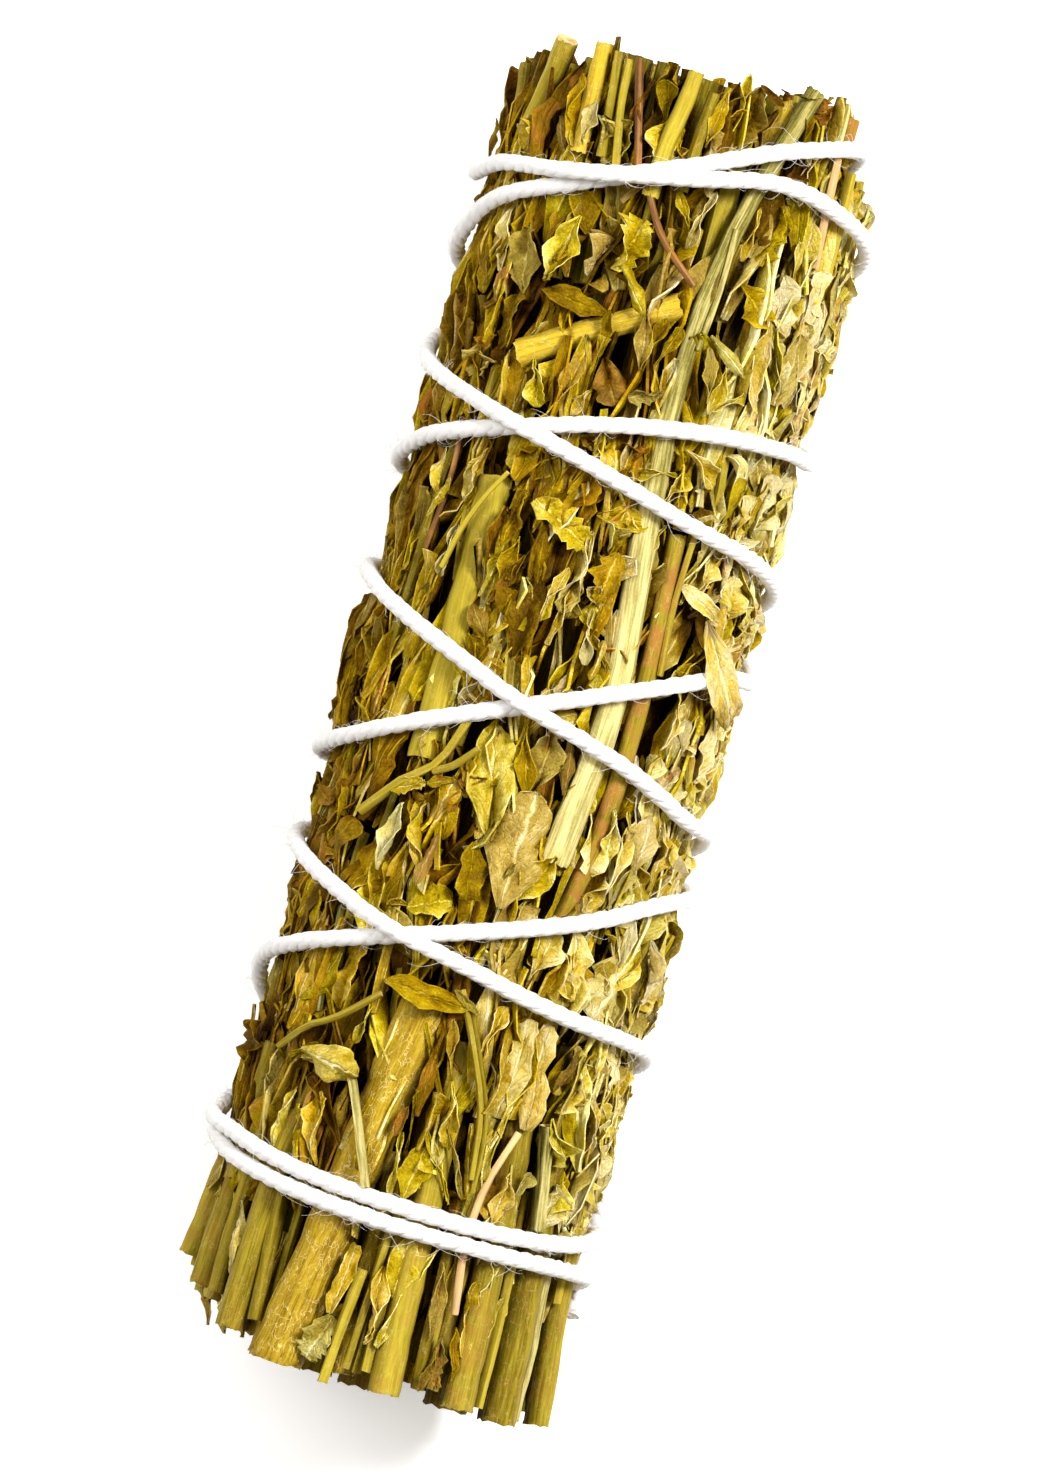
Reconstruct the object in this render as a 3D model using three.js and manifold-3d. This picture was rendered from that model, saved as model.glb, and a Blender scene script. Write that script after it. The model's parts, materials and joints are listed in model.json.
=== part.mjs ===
// A bundle of dried rue: cut stems and pressed leaf sprays, wound with one cotton string.
// Units are millimetres. The bundle lies on its side on the plane z = 0: its length runs along +Y,
// with the cut stem ends towards -Y and the leafy tips towards +Y.
//
// Places on the bundle are given as (angle, radius, along). The angle is in degrees, 0 at the top of the
// lying bundle and 90 at its +X side, the radius is from the bundle's middle line, and along is the place
// on that line, measured from the middle of the bundle.
import * as THREE from "three";
import { mergeVertices } from "three/addons/utils/BufferGeometryUtils.js";
import Module from "manifold-3d";

const DEGREE = Math.PI / 180;

// ---- driving dimensions ----
const AXIS_HEIGHT = 16.7; // the bundle's middle line over the surface it lies on
const SQUASH = 0.45; // how far the underside is pressed flat by the bundle's own weight
const CORE_RING_1 = 4.25; // radius of the ring of six stems round the middle stem
const CORE_RING_2 = 8.4; // radius of the ring of twelve stems round those
const CORE_STEM_RADIUS = 1.9;
const OUTER_RING = 12.4; // middle of the outer stems where leaves cover them
const STEM_REACH = 15.2; // outer side of the stems that show between the leaves, just under the string
const BUTT_FLARE = 0.5; // how far the outer stems spread past the last turns of string
const RISE_FROM = -32; // the outer stems come up from under the leaves here
const RISE_TO = -38; // and show from here on
const FLARE_FROM = -42; // where that spreading starts
const BUTT_END = -53.8; // the longest cut ends
const TIP_END = 53.5;
const LEAF_LAYERS = [
  { inner: 14.15, outer: 14.45 },
  { inner: 14.7, outer: 15.0 },
];
const STRING_DIAMETER = 1.45;
const STRING_RING = 16.1; // middle of the string
const STRING_GAP = 0.08; // between two touching turns
const STEM_SIDES = 8;
const STRING_SIDES = 8;
const STRING_STEPS_PER_TURN = 28;

// ---- colours ----
const finish = (color, roughness) => new THREE.MeshStandardMaterial({ color, roughness, metalness: 0 });
const OLIVE_STEM = finish(0x8f8428, 0.6);
const PALE_STEM = finish(0xc9bb6a, 0.6);
const WOODY_STEM = finish(0xb8923a, 0.65);
const TAN_TWIG = finish(0xc98a54, 0.6);
const LEAF = finish(0x8d8531, 0.7);
const PALE_LEAF = finish(0xb3a855, 0.7);
const COTTON = finish(0xf4f1ec, 0.95);

// ---- placing ----
// The underside is pressed flat: what lies lowest is lifted, so that layers keep their order.
function around(angle, radius, along) {
  const x = radius * Math.sin(angle * DEGREE);
  const z = radius * Math.cos(angle * DEGREE);
  return new THREE.Vector3(x, along, AXIS_HEIGHT + Math.max(z, SQUASH - radius));
}

function smooth(value, from, to) {
  const share = THREE.MathUtils.clamp((value - from) / (to - from), 0, 1);
  return share * share * (3 - 2 * share);
}

const bundle = new THREE.Group();

function addPiece(name, geometry, material) {
  const mesh = new THREE.Mesh(geometry, material);
  mesh.name = name;
  bundle.add(mesh);
}

// ---- stems ----
// A stem is turned as a straight rod with a slight swelling at each leaf joint, then bent along its route.
function stemGeometry(route, radius, joints) {
  const length = route.getLength();
  const steps = Math.max(3, Math.round(length / 14));
  const profile = [new THREE.Vector2(0, 0)];
  for (let i = 0; i <= steps; i++) {
    const share = i / steps;
    const swelling = 1 + 0.07 * Math.cos(2 * Math.PI * joints * share) - 0.08 * share;
    profile.push(new THREE.Vector2((radius / 1.07) * swelling, length * share));
  }
  profile.push(new THREE.Vector2(0, length));
  const rod = new THREE.LatheGeometry(profile, STEM_SIDES);
  const position = rod.getAttribute("position");
  const sideways = new THREE.Vector3(1, 0, 0);
  for (let i = 0; i < position.count; i++) {
    const share = THREE.MathUtils.clamp(position.getY(i) / length, 0, 1);
    const middle = route.getPointAt(share);
    const forward = route.getTangentAt(share);
    const up = new THREE.Vector3().crossVectors(sideways, forward).normalize();
    const side = new THREE.Vector3().crossVectors(forward, up);
    middle.addScaledVector(side, position.getX(i)).addScaledVector(up, position.getZ(i));
    position.setXYZ(i, middle.x, middle.y, middle.z);
  }
  return rod;
}

function addStem(name, places, radius, material, joints = 3) {
  const route = new THREE.CatmullRomCurve3(places.map((place) => around(...place)));
  addPiece(name, stemGeometry(route, radius, joints), material);
}

// The middle stem and two rings round it, each cut to its own length.
function addCoreStems() {
  const rings = [
    { count: 1, radius: 0 },
    { count: 6, radius: CORE_RING_1 },
    { count: 12, radius: CORE_RING_2 },
  ];
  let number = 0;
  for (const ring of rings) {
    for (let i = 0; i < ring.count; i++) {
      number += 1;
      const angle = (360 / ring.count) * i + 7;
      const butt = BUTT_END + 1.1 + 1.6 * Math.sin(number * 2.4);
      const tip = TIP_END - 4.2 + 3 * Math.sin(number * 1.7);
      const thickness = CORE_STEM_RADIUS - 0.16 * (1 + Math.sin(number * 3.1));
      const middle = (butt + tip) / 2;
      const places = [butt, middle, tip].map((along) => [angle, ring.radius, along]);
      const name = `core_stem_${String(number).padStart(2, "0")}`;
      addStem(name, places, thickness, number % 3 ? OLIVE_STEM : WOODY_STEM);
    }
  }
}

// An outer stem runs from its cut end, where it spreads a little, to where leaves cover it. It is sunk
// under them from there on, unless it shows over its whole length.
function outerPlaces({ angles, ends, radius, sunk = true, flare = BUTT_FLARE }) {
  const steps = 5;
  const shown = STEM_REACH - radius;
  const places = [];
  for (let i = 0; i <= steps; i++) {
    const along = THREE.MathUtils.lerp(ends[0], ends[1], i / steps);
    const angle = THREE.MathUtils.lerp(angles[0], angles[1], i / steps);
    const risen = sunk ? smooth(-along, -RISE_FROM, -RISE_TO) : 1;
    const ring = THREE.MathUtils.lerp(OUTER_RING, shown, risen);
    places.push([angle, ring + flare * smooth(-along, -FLARE_FROM, -BUTT_END), along]);
  }
  return places;
}

function addOuterStems() {
  const stems = [
    // the top and the two sides of the lying bundle
    { name: "outer_stem_01", angles: [-88, -80], ends: [-47.8, -22], radius: 1.1, flare: 2.2 },
    { name: "outer_stem_02", angles: [-72, -62], ends: [-49.8, 6], radius: 1.3 },
    { name: "outer_stem_03", angles: [-47.5, -44], ends: [-52.4, -14], radius: 1.2 },
    { name: "outer_stem_04", angles: [10.5, 7], ends: [-54.1, -26], radius: 1.25 },
    { name: "outer_stem_05", angles: [37, 35], ends: [-53.8, -27], radius: 1.35 },
    { name: "outer_stem_06", angles: [58, 52], ends: [-54.1, -24], radius: 1.55 },
    { name: "outer_stem_07", angles: [84, 80], ends: [-53.8, -9], radius: 1.1, flare: 1.2 },
    // the underside
    { name: "outer_stem_08", angles: [107, 104], ends: [-52.6, -4], radius: 1.4 },
    { name: "outer_stem_09", angles: [134, 130], ends: [-53.4, 12], radius: 1.3 },
    { name: "outer_stem_10", angles: [160, 158], ends: [-51.8, -12], radius: 1.45, flare: 0 },
    { name: "outer_stem_11", angles: [189, 190], ends: [-53.1, 8], radius: 1.4, flare: 0 },
    { name: "outer_stem_12", angles: [217, 220], ends: [-52.2, -18], radius: 1.45 },
    { name: "outer_stem_13", angles: [245, 248], ends: [-50.7, 2], radius: 1.3 },
  ];
  for (const stem of stems) addStem(stem.name, outerPlaces(stem), stem.radius, OLIVE_STEM);

  const thick = { angles: [-28, -9.5], ends: [-53.5, -23], radius: 1.95, sunk: false, flare: 0.3 };
  addStem("thick_woody_stem", outerPlaces(thick), thick.radius, WOODY_STEM, 2);
  const broad = { angles: [-33, -35], ends: [-4, 18.5], radius: 1.45, sunk: false };
  addStem("broad_olive_stem", outerPlaces(broad), broad.radius, OLIVE_STEM, 1);
  const brown = [
    [25, 12.4, -19],
    [28.5, 12.7, -13],
    [32, 14.2, -7],
    [35.5, 14.35, 0],
    [32.5, 14.35, 8],
    [30.5, 14.35, 18],
  ];
  addStem("brown_stem", brown, 0.8, TAN_TWIG);
  const pale = [
    [19, 14.1, -9.5],
    [24, 14.1, 0],
    [21.5, 14.1, 12],
    [16.5, 14.1, 26],
    [17.5, 14.1, 34],
    [22, 14.1, 43],
    [27, 14.1, 50],
    [37, 14.1, 55.3],
  ];
  addStem("long_pale_stem", pale, 1.0, PALE_STEM);
}

// A broken length of stem that lies across the others, and a thin twig caught under the last turns.
function addLooseStems() {
  const across = [
    [-35.5, 14.1, 29.1],
    [-15, 13.2, 32.2],
    [10, 13.55, 35.8],
  ];
  addStem("broken_cross_stem", across, 1.2, PALE_STEM, 1);
  const twig = [
    [31, 14.8, -31.6],
    [25, 14.8, -36],
    [23.5, 14.8, -41.5],
    [26, 14.8, -46.8],
  ];
  addStem("thin_tan_twig", twig, 0.35, TAN_TWIG, 2);
}

// ---- leaf sprays ----
// A spray is a lobed, pointed plate, thickest in the middle of its layer, wrapped round the bundle.
function sprayGeometry({ angle, along, halfWidth, halfLength, slant = 0, lift = null, layer = 0 }) {
  const plate = new THREE.BoxGeometry(2, 2, 1, 5, 8, 1);
  const position = plate.getAttribute("position");
  const { inner, outer } = LEAF_LAYERS[layer];
  for (let i = 0; i < position.count; i++) {
    const across = position.getX(i);
    const up = position.getY(i);
    const lobes = 1 + 0.12 * Math.cos(3 * Math.PI * up);
    const width = halfWidth * lobes * (0.12 + 0.88 * Math.sqrt(Math.max(0, 1 - up * up)));
    const sideways = across * width + slant * up * halfLength;
    if (lift === null) {
      const radius = position.getZ(i) > 0 ? outer : inner;
      const turned = angle + sideways / (outer * DEGREE);
      const place = around(turned, radius, along + up * halfLength);
      position.setXYZ(i, place.x, place.y, place.z);
    } else {
      position.setXYZ(i, -sideways, along + up * halfLength, position.getZ(i) > 0 ? 0 : lift);
    }
  }
  return plate;
}

function addSprays() {
  const sprays = [
    { angle: -68, along: 33, halfWidth: 5.4, halfLength: 12, slant: 0.08 },
    { angle: -4, along: 12, halfWidth: 4.6, halfLength: 13, slant: -0.06 },
    { angle: 62, along: 31, halfWidth: 6.4, halfLength: 13, slant: 0.05 },
    { angle: 118, along: 33, halfWidth: 6.2, halfLength: 11, slant: -0.1 },
    { angle: 240, along: 30, halfWidth: 6.2, halfLength: 13, slant: 0.07 },
    { angle: -66, along: 4, halfWidth: 5.8, halfLength: 13, slant: -0.05 },
    { angle: 66, along: 0, halfWidth: 5.3, halfLength: 13, slant: -0.06 },
    { angle: 20, along: -22, halfWidth: 5.2, halfLength: 9, slant: 0.05 },
    { angle: -59, along: -21, halfWidth: 5.4, halfLength: 9, slant: 0.04 },
    { angle: 122, along: 1, halfWidth: 6.0, halfLength: 12, slant: 0.06 },
    { angle: 238, along: -2, halfWidth: 6.0, halfLength: 13, slant: -0.07 },
    { angle: 180, along: 32, halfWidth: 6.2, halfLength: 13, slant: 0.04 },
    { angle: 66, along: -26, halfWidth: 5.4, halfLength: 10, slant: 0.08, layer: 1 },
    { angle: 92, along: 16, halfWidth: 5.0, halfLength: 10, slant: 0.08, layer: 1 },
    { angle: 268, along: 16, halfWidth: 5.0, halfLength: 10, slant: -0.08, layer: 1 },
    { angle: 180, along: -24, halfWidth: 5.4, halfLength: 10, slant: 0.05, layer: 1 },
    { angle: -14, along: 43, halfWidth: 5.0, halfLength: 6.5, slant: 0.05 },
  ];
  sprays.forEach((spray, i) => {
    const material = spray.angle > 40 && spray.angle < 130 ? PALE_LEAF : LEAF;
    addPiece(`leaf_spray_${String(i + 1).padStart(2, "0")}`, sprayGeometry(spray), material);
  });
}

// Leaves that bulge between the turns of string underneath, pressed flat where the bundle rests on them.
function addUnderTufts() {
  const tufts = [
    { along: -19.8, halfLength: 7.2 },
    { along: 1.5, halfLength: 6.4 },
    { along: 23.2, halfLength: 5.4 },
    { along: 42.2, halfLength: 3.2 },
  ];
  const lift = AXIS_HEIGHT + SQUASH - LEAF_LAYERS[1].outer - 0.3;
  tufts.forEach((tuft, i) => {
    const geometry = sprayGeometry({ ...tuft, angle: 180, halfWidth: 4.6, lift });
    addPiece(`under_tuft_${i + 1}`, geometry, LEAF);
  });
}

// ---- string ----
// Places along the bundle where each turn of string crosses its top, at these angles, in winding order:
// from the knot up to the tips, and back down over the first turns. BEHIND holds the place half way
// round underneath, on the way to the next turn.
const TURN_ANGLES = [-90, -60, -30, 0, 30, 60, 90];
const TURNS = [
  [-37.9, -39.4, -40.6, -41.2, -41.3, -41.3, -41.6],
  [-23.9, -21.6, -19.4, -16.8, -13.9, -10.8, -9.7],
  [-5.7, -4.2, -1.3, 2.1, 5.5, 8.1, 8.6],
  [18.6, 20.9, 23.0, 25.3, 26.7, 27.0, 26.8],
  [36.5, 40.6, 43.3, 46.7, 50.3, 52.0, 51.5],
  [42.5, 43.6, 44.1, 45.8, 47.5, 46.2, 44.1],
  [27.5, 25.5, 23.7, 21.5, 19.2, 17.7, 15.8],
  [9.3, 7.3, 4.6, 1.5, -0.9, -3.7, -4.7],
  [-13.1, -15.2, -17.7, -19.7, -21.4, -22.2, -23.1],
  [-36.2, -37.7, -39.0, -39.6, -39.7, -39.2, -38.1],
];
const BEHIND = [-35.4, -7.2, 15.5, 30.9, 47.5, 36.6, 10.2, -10.4, -29.3];
const KNOT = { angle: 125, along: -39.5 };
const LEAVES_KNOT = { angle: KNOT.angle - 360, along: -40.3 };
const PASSES_KNOT = { angle: KNOT.angle, along: -42.4 };
const ENTERS_KNOT = { angle: KNOT.angle + 360 * (TURNS.length - 1), along: -38.7 };

function windingPoints() {
  const points = [LEAVES_KNOT];
  TURNS.forEach((turn, i) => {
    turn.forEach((along, j) => points.push({ angle: 360 * i + TURN_ANGLES[j], along }));
    if (i === 0) points.push(PASSES_KNOT);
    if (i < BEHIND.length) points.push({ angle: 360 * i + 180, along: BEHIND[i] });
  });
  points.push(ENTERS_KNOT);
  return points;
}

// A smooth line through the winding points: cubic between them, level with their neighbours' slope.
function windingAlong(points, angle) {
  let i = points.findIndex((point) => point.angle >= angle) - 1;
  i = THREE.MathUtils.clamp(i, 0, points.length - 2);
  const slope = (k) => {
    const before = points[Math.max(k - 1, 0)];
    const after = points[Math.min(k + 1, points.length - 1)];
    return (after.along - before.along) / (after.angle - before.angle);
  };
  const span = points[i + 1].angle - points[i].angle;
  const share = (angle - points[i].angle) / span;
  const square = share * share;
  const cube = square * share;
  return (
    points[i].along * (2 * cube - 3 * square + 1) +
    points[i + 1].along * (3 * square - 2 * cube) +
    span * (slope(i) * (cube - 2 * square + share) + slope(i + 1) * (cube - square))
  );
}

// The bundle is narrower at the tips on its +X side, and the string draws in there.
function stringRing(angle, along) {
  const turned = THREE.MathUtils.euclideanModulo(angle, 360);
  const side = smooth(turned, 35, 95) * (1 - smooth(turned, 130, 200));
  return STRING_RING - 2.7 * side * smooth(along, 46.5, 51);
}

// A later turn climbs over each earlier turn that it crosses, in a long low hump.
function stringPlaces() {
  const points = windingPoints();
  const first = points[0].angle;
  const last = points[points.length - 1].angle;
  const count = Math.round(((last - first) / 360) * STRING_STEPS_PER_TURN);
  const places = [];
  for (let i = 0; i <= count; i++) {
    const angle = first + ((last - first) * i) / count;
    const along = windingAlong(points, angle);
    places.push({ angle, along, ring: stringRing(angle, along), lift: 0 });
  }
  const reach = STRING_DIAMETER + STRING_GAP;
  const slopeAlong = (i) => {
    const before = places[Math.max(i - 1, 0)];
    const after = places[Math.min(i + 1, count)];
    const arc = (after.angle - before.angle) * DEGREE * STRING_RING;
    return (after.along - before.along) / arc;
  };
  const halfTurn = STRING_STEPS_PER_TURN / 2;
  for (let i = 0; i <= count; i++) {
    for (let j = 0; j < i - halfTurn; j++) {
      const turned = (((places[i].angle - places[j].angle) % 360) + 540) % 360 - 180;
      const arc = turned * DEGREE * STRING_RING;
      if (Math.abs(arc) > 2) continue;
      const gap = places[i].along - places[j].along - arc * slopeAlong(j);
      const between = Math.abs(gap) / Math.hypot(1, slopeAlong(j));
      if (between >= reach) continue;
      const over = places[j].ring + places[j].lift + Math.sqrt(reach * reach - between * between);
      places[i].lift = Math.max(places[i].lift, over - places[i].ring);
    }
  }
  const fall = 0.26; // how fast a hump may fall, as a share of the way along the string
  const step = (360 / STRING_STEPS_PER_TURN) * DEGREE * STRING_RING;
  const rise = places.map((place) => place.lift);
  places.forEach((place, i) => {
    const near = Math.ceil(STRING_DIAMETER / fall / step) + 1;
    for (let j = Math.max(0, i - near); j <= Math.min(count, i + near); j++) {
      place.lift = Math.max(place.lift, rise[j] - fall * step * Math.abs(i - j));
    }
  });
  return places;
}

function section(radius) {
  const shape = new THREE.Shape();
  for (let i = 0; i < STRING_SIDES; i++) {
    const turn = (2 * Math.PI * i) / STRING_SIDES;
    const corner = [radius * Math.cos(turn), radius * Math.sin(turn)];
    if (i === 0) shape.moveTo(...corner);
    else shape.lineTo(...corner);
  }
  shape.closePath();
  return shape;
}

function tube(places, radius, steps) {
  const route = new THREE.CatmullRomCurve3(places);
  route.arcLengthDivisions = 12 * steps;
  return new THREE.ExtrudeGeometry(section(radius), { steps, extrudePath: route, bevelEnabled: false });
}

const wasm = await Module();
wasm.setup();

function solid(geometry) {
  const bare = new THREE.BufferGeometry();
  const source = geometry.index ? geometry.toNonIndexed() : geometry;
  bare.setAttribute("position", source.getAttribute("position"));
  const merged = mergeVertices(bare, 1e-4);
  return new wasm.Manifold(
    new wasm.Mesh({
      numProp: 3,
      vertProperties: new Float32Array(merged.getAttribute("position").array),
      triVerts: new Uint32Array(merged.index.array),
    }),
  );
}

function geometryOf(manifold) {
  const mesh = manifold.getMesh();
  const geometry = new THREE.BufferGeometry();
  geometry.setAttribute("position", new THREE.BufferAttribute(mesh.vertProperties, 3));
  geometry.setIndex(new THREE.BufferAttribute(mesh.triVerts, 1));
  geometry.computeVertexNormals();
  return geometry;
}

// One string, with its two ends knotted low on the +X side and cut short.
function addString() {
  const places = stringPlaces().map(({ angle, along, ring, lift }) => around(angle, ring + lift, along));
  const radius = STRING_DIAMETER / 2;
  const winding = tube(places, radius, places.length - 1);
  const knot = new THREE.SphereGeometry(1, 12, 8);
  knot.scale(1.25, 1.9, 1.25);
  const middle = around(KNOT.angle, STRING_RING + 0.2, KNOT.along);
  knot.translate(middle.x, middle.y, middle.z);
  const tail = (turned, along) => {
    const end = around(KNOT.angle + turned, STRING_RING, KNOT.along + along);
    const half = around(KNOT.angle + turned * 0.5, STRING_RING + 0.3, KNOT.along + along * 0.4);
    return tube([middle, half, end], radius * 0.95, 6);
  };
  const whole = solid(winding)
    .add(solid(knot))
    .add(solid(tail(-16, 4.6)))
    .add(solid(tail(-20, -5.2)));
  addPiece("cotton_string", geometryOf(whole), COTTON);
}

addCoreStems();
addOuterStems();
addLooseStems();
addSprays();
addUnderTufts();
addString();

// The origin is the middle of the bundle's footprint, on the surface that it lies on.
const bounds = new THREE.Box3().setFromObject(bundle);
const centre = bounds.getCenter(new THREE.Vector3());
bundle.position.set(-centre.x, -centre.y, -bounds.min.z);

export default bundle;
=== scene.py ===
# %% [markdown]
# # A bundle of dried rue
# The real thing is a roll of cut rue, pressed by hand and wound criss-cross with one cotton string, so that
# it dries into a stick. Its pieces are stems, leaf sprays and the string. The frame that this script loads
# already holds them as plain solids at their real size, and this script gives them their looks: every piece
# is modelled again in detail where the frame says that it is.

# %% The frame
import json
import math

import bpy
import numpy as np
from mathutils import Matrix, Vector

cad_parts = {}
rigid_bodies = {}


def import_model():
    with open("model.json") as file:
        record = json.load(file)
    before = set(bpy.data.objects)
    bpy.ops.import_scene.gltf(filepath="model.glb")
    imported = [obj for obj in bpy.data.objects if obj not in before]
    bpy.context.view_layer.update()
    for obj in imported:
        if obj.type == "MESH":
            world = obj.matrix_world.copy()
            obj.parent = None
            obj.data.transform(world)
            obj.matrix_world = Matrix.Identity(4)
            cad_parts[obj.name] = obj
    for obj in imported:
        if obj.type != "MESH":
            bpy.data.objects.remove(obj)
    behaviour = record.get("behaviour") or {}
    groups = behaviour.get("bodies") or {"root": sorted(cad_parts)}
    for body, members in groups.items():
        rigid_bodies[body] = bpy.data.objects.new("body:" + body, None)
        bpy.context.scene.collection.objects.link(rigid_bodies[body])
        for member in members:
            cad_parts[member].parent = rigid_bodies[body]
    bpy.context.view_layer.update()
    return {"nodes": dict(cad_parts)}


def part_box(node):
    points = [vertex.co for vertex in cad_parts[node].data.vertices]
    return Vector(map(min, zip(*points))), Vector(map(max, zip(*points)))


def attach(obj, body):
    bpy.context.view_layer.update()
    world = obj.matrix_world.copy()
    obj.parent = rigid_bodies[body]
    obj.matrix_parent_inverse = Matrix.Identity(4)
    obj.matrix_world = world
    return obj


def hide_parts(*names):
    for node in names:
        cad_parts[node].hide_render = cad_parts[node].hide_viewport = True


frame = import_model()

MM = 0.001  # sizes and places are in millimetres here, and in metres in the scene
nodes = frame["nodes"]
print("The frame holds", len(nodes), "nodes")

# %% [markdown]
# ## Places on the bundle
# Everything lies on one cylinder, so a place is easier to say as an angle round the bundle, a radius and a
# place along it than as x, y and z. The angle is 0 at the top of the lying bundle and 90 at its +X side.
# The middle line is read from the frame: the innermost stem lies on it, and one of the flat tufts
# underneath is known to sit 1.5 mm past the bundle's middle.

# %% The bundle's middle line
def cad_middle(name):
    """The middle of a CAD node's box, in millimetres."""
    low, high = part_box(name)
    return (np.array(low) + np.array(high)) / 2 / MM


SQUASH = 0.45  # how far the underside is pressed flat
SURFACE = 15  # radius at which the outer leaves lie, and at which an angle is turned into a length
LOWEST = 0.02  # nothing lies lower than this
AXIS_X, _, AXIS_Z = cad_middle("core_stem_01") - [0, 0, SQUASH]
MIDDLE_Y = cad_middle("under_tuft_2")[1] - 1.5


def around(angle, radius, along):
    """Points in millimetres from angles in degrees, radii and places along the bundle."""
    turn = np.radians(angle)
    height = np.maximum(radius * np.cos(turn), SQUASH - radius)
    return np.stack([AXIS_X + radius * np.sin(turn), MIDDLE_Y + along + 0 * turn, AXIS_Z + height], axis=-1)


def where(points):
    """The angle, radius and place along of points in millimetres."""
    x, y, z = np.moveaxis(np.asarray(points, dtype=float) - [AXIS_X, MIDDLE_Y, AXIS_Z], -1, 0)
    return np.degrees(np.arctan2(x, z)), np.hypot(x, z), y


def smooth(value, start, end):
    """0 before the start, 1 after the end, and an S-shaped rise between."""
    share = np.clip((value - start) / (end - start), 0, 1)
    return share * share * (3 - 2 * share)


print("Middle line at x %.2f, z %.2f mm" % (AXIS_X, AXIS_Z))

# %% [markdown]
# ## Where the string runs
# One string goes round the bundle from a knot near the cut ends up to the tips and back. It could be drawn
# as a hand-made curve, but it has to lie on the stems, cross itself again and again and press the leaves
# in, so its route is a short list of places where each turn crosses the top of the bundle, with a smooth
# line through them. The same line later tells every leaf how far it may stand out.

# %% The string's route
STRING_RADIUS = 0.74
STRING_RING = 16.1  # middle of the string from the middle line
CLIMB = 0.26  # how steeply the string rises to a crossing
TURN_ANGLES = [-90, -60, -30, 0, 30, 60, 90]
TURNS = [  # for each turn, the string's places along the bundle at these angles
    [-37.9, -39.4, -40.6, -41.2, -41.3, -41.3, -41.6],
    [-23.9, -21.6, -19.4, -16.8, -13.9, -10.8, -9.7],
    [-5.7, -4.2, -1.3, 2.1, 5.5, 8.1, 8.6],
    [18.6, 20.9, 23.0, 25.3, 26.7, 27.0, 26.8],
    [36.5, 40.6, 43.3, 46.7, 50.3, 52.0, 51.5],
    [42.5, 43.6, 44.1, 45.8, 47.5, 46.2, 44.1],
    [27.5, 25.5, 23.7, 21.5, 19.2, 17.7, 15.8],
    [9.3, 7.3, 4.6, 1.5, -0.9, -3.7, -4.7],
    [-13.1, -15.2, -17.7, -19.7, -21.4, -22.2, -23.1],
    [-36.2, -37.7, -39.0, -39.6, -39.7, -39.2, -38.1],
]
BEHIND = [-35.4, -7.2, 15.5, 30.9, 47.5, 36.6, 10.2, -10.4, -29.3]  # underneath, from turn to turn
KNOT_ANGLE, KNOT_ALONG = 125, -39.5


def winding_places():
    """Every angle that the string passes, counted on from turn to turn, and its place along there."""
    places = [(KNOT_ANGLE - 360, KNOT_ALONG - 0.8)]
    for i, turn in enumerate(TURNS):
        places += [(360 * i + angle, along) for angle, along in zip(TURN_ANGLES, turn)]
        if i == 0:
            places.append((KNOT_ANGLE, KNOT_ALONG - 2.9))
        if i < len(BEHIND):
            places.append((360 * i + 180, BEHIND[i]))
    places.append((KNOT_ANGLE + 360 * (len(TURNS) - 1), KNOT_ALONG + 0.8))
    return np.array(places, dtype=float)


def lengths_along(line):
    """How far each point of a line is from its start, along it."""
    return np.concatenate([[0], np.cumsum(np.linalg.norm(np.diff(line, axis=0), axis=1))])


def unit(vectors):
    return vectors / np.linalg.norm(vectors, axis=1)[:, None]


def cubic_through(x, y, at):
    """A smooth line through the points x, y, level with its neighbours' slope at each."""
    ahead, behind = np.minimum(np.arange(len(x)) + 1, len(x) - 1), np.maximum(np.arange(len(x)) - 1, 0)
    slope = (y[ahead] - y[behind]) / (x[ahead] - x[behind])
    i = np.clip(np.searchsorted(x, at) - 1, 0, len(x) - 2)
    span = x[i + 1] - x[i]
    s = (at - x[i]) / span
    value = y[i] * (2 * s**3 - 3 * s**2 + 1) + y[i + 1] * (3 * s**2 - 2 * s**3)
    return value + span * (slope[i] * (s**3 - 2 * s**2 + s) + slope[i + 1] * (s**3 - s**2))


winding = winding_places()
STEP = 2.0  # degrees between the points of the string's line
string_angle = np.arange(winding[0, 0], winding[-1, 0] + STEP / 2, STEP)
string_along = cubic_through(winding[:, 0], winding[:, 1], string_angle)
string_slope = np.gradient(string_along, np.radians(string_angle) * STRING_RING)


def string_distance(angle, along):
    """How far a place on the bundle's surface is from the middle of the nearest string."""
    nearest = np.full(np.shape(angle), 99.0)
    turned = np.mod(angle + 235, 360) - 235
    for i in range(len(TURNS) + 1):
        there = turned + 360 * i
        inside = (there >= string_angle[0]) & (there <= string_angle[-1])
        offset = np.abs(along - np.interp(there, string_angle, string_along))
        distance = offset / np.hypot(1, np.interp(there, string_angle, string_slope))
        nearest = np.where(inside, np.minimum(nearest, distance), nearest)
    return nearest


# %% The string's climbs where it crosses itself
def narrowed(angle, along):
    """How much thinner the bundle is at its tips, on the +X side."""
    turned = np.mod(angle, 360)
    side = smooth(turned, 35, 95) * (1 - smooth(turned, 130, 200))
    return 2.7 * side * smooth(along, 46.5, 51)


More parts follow.
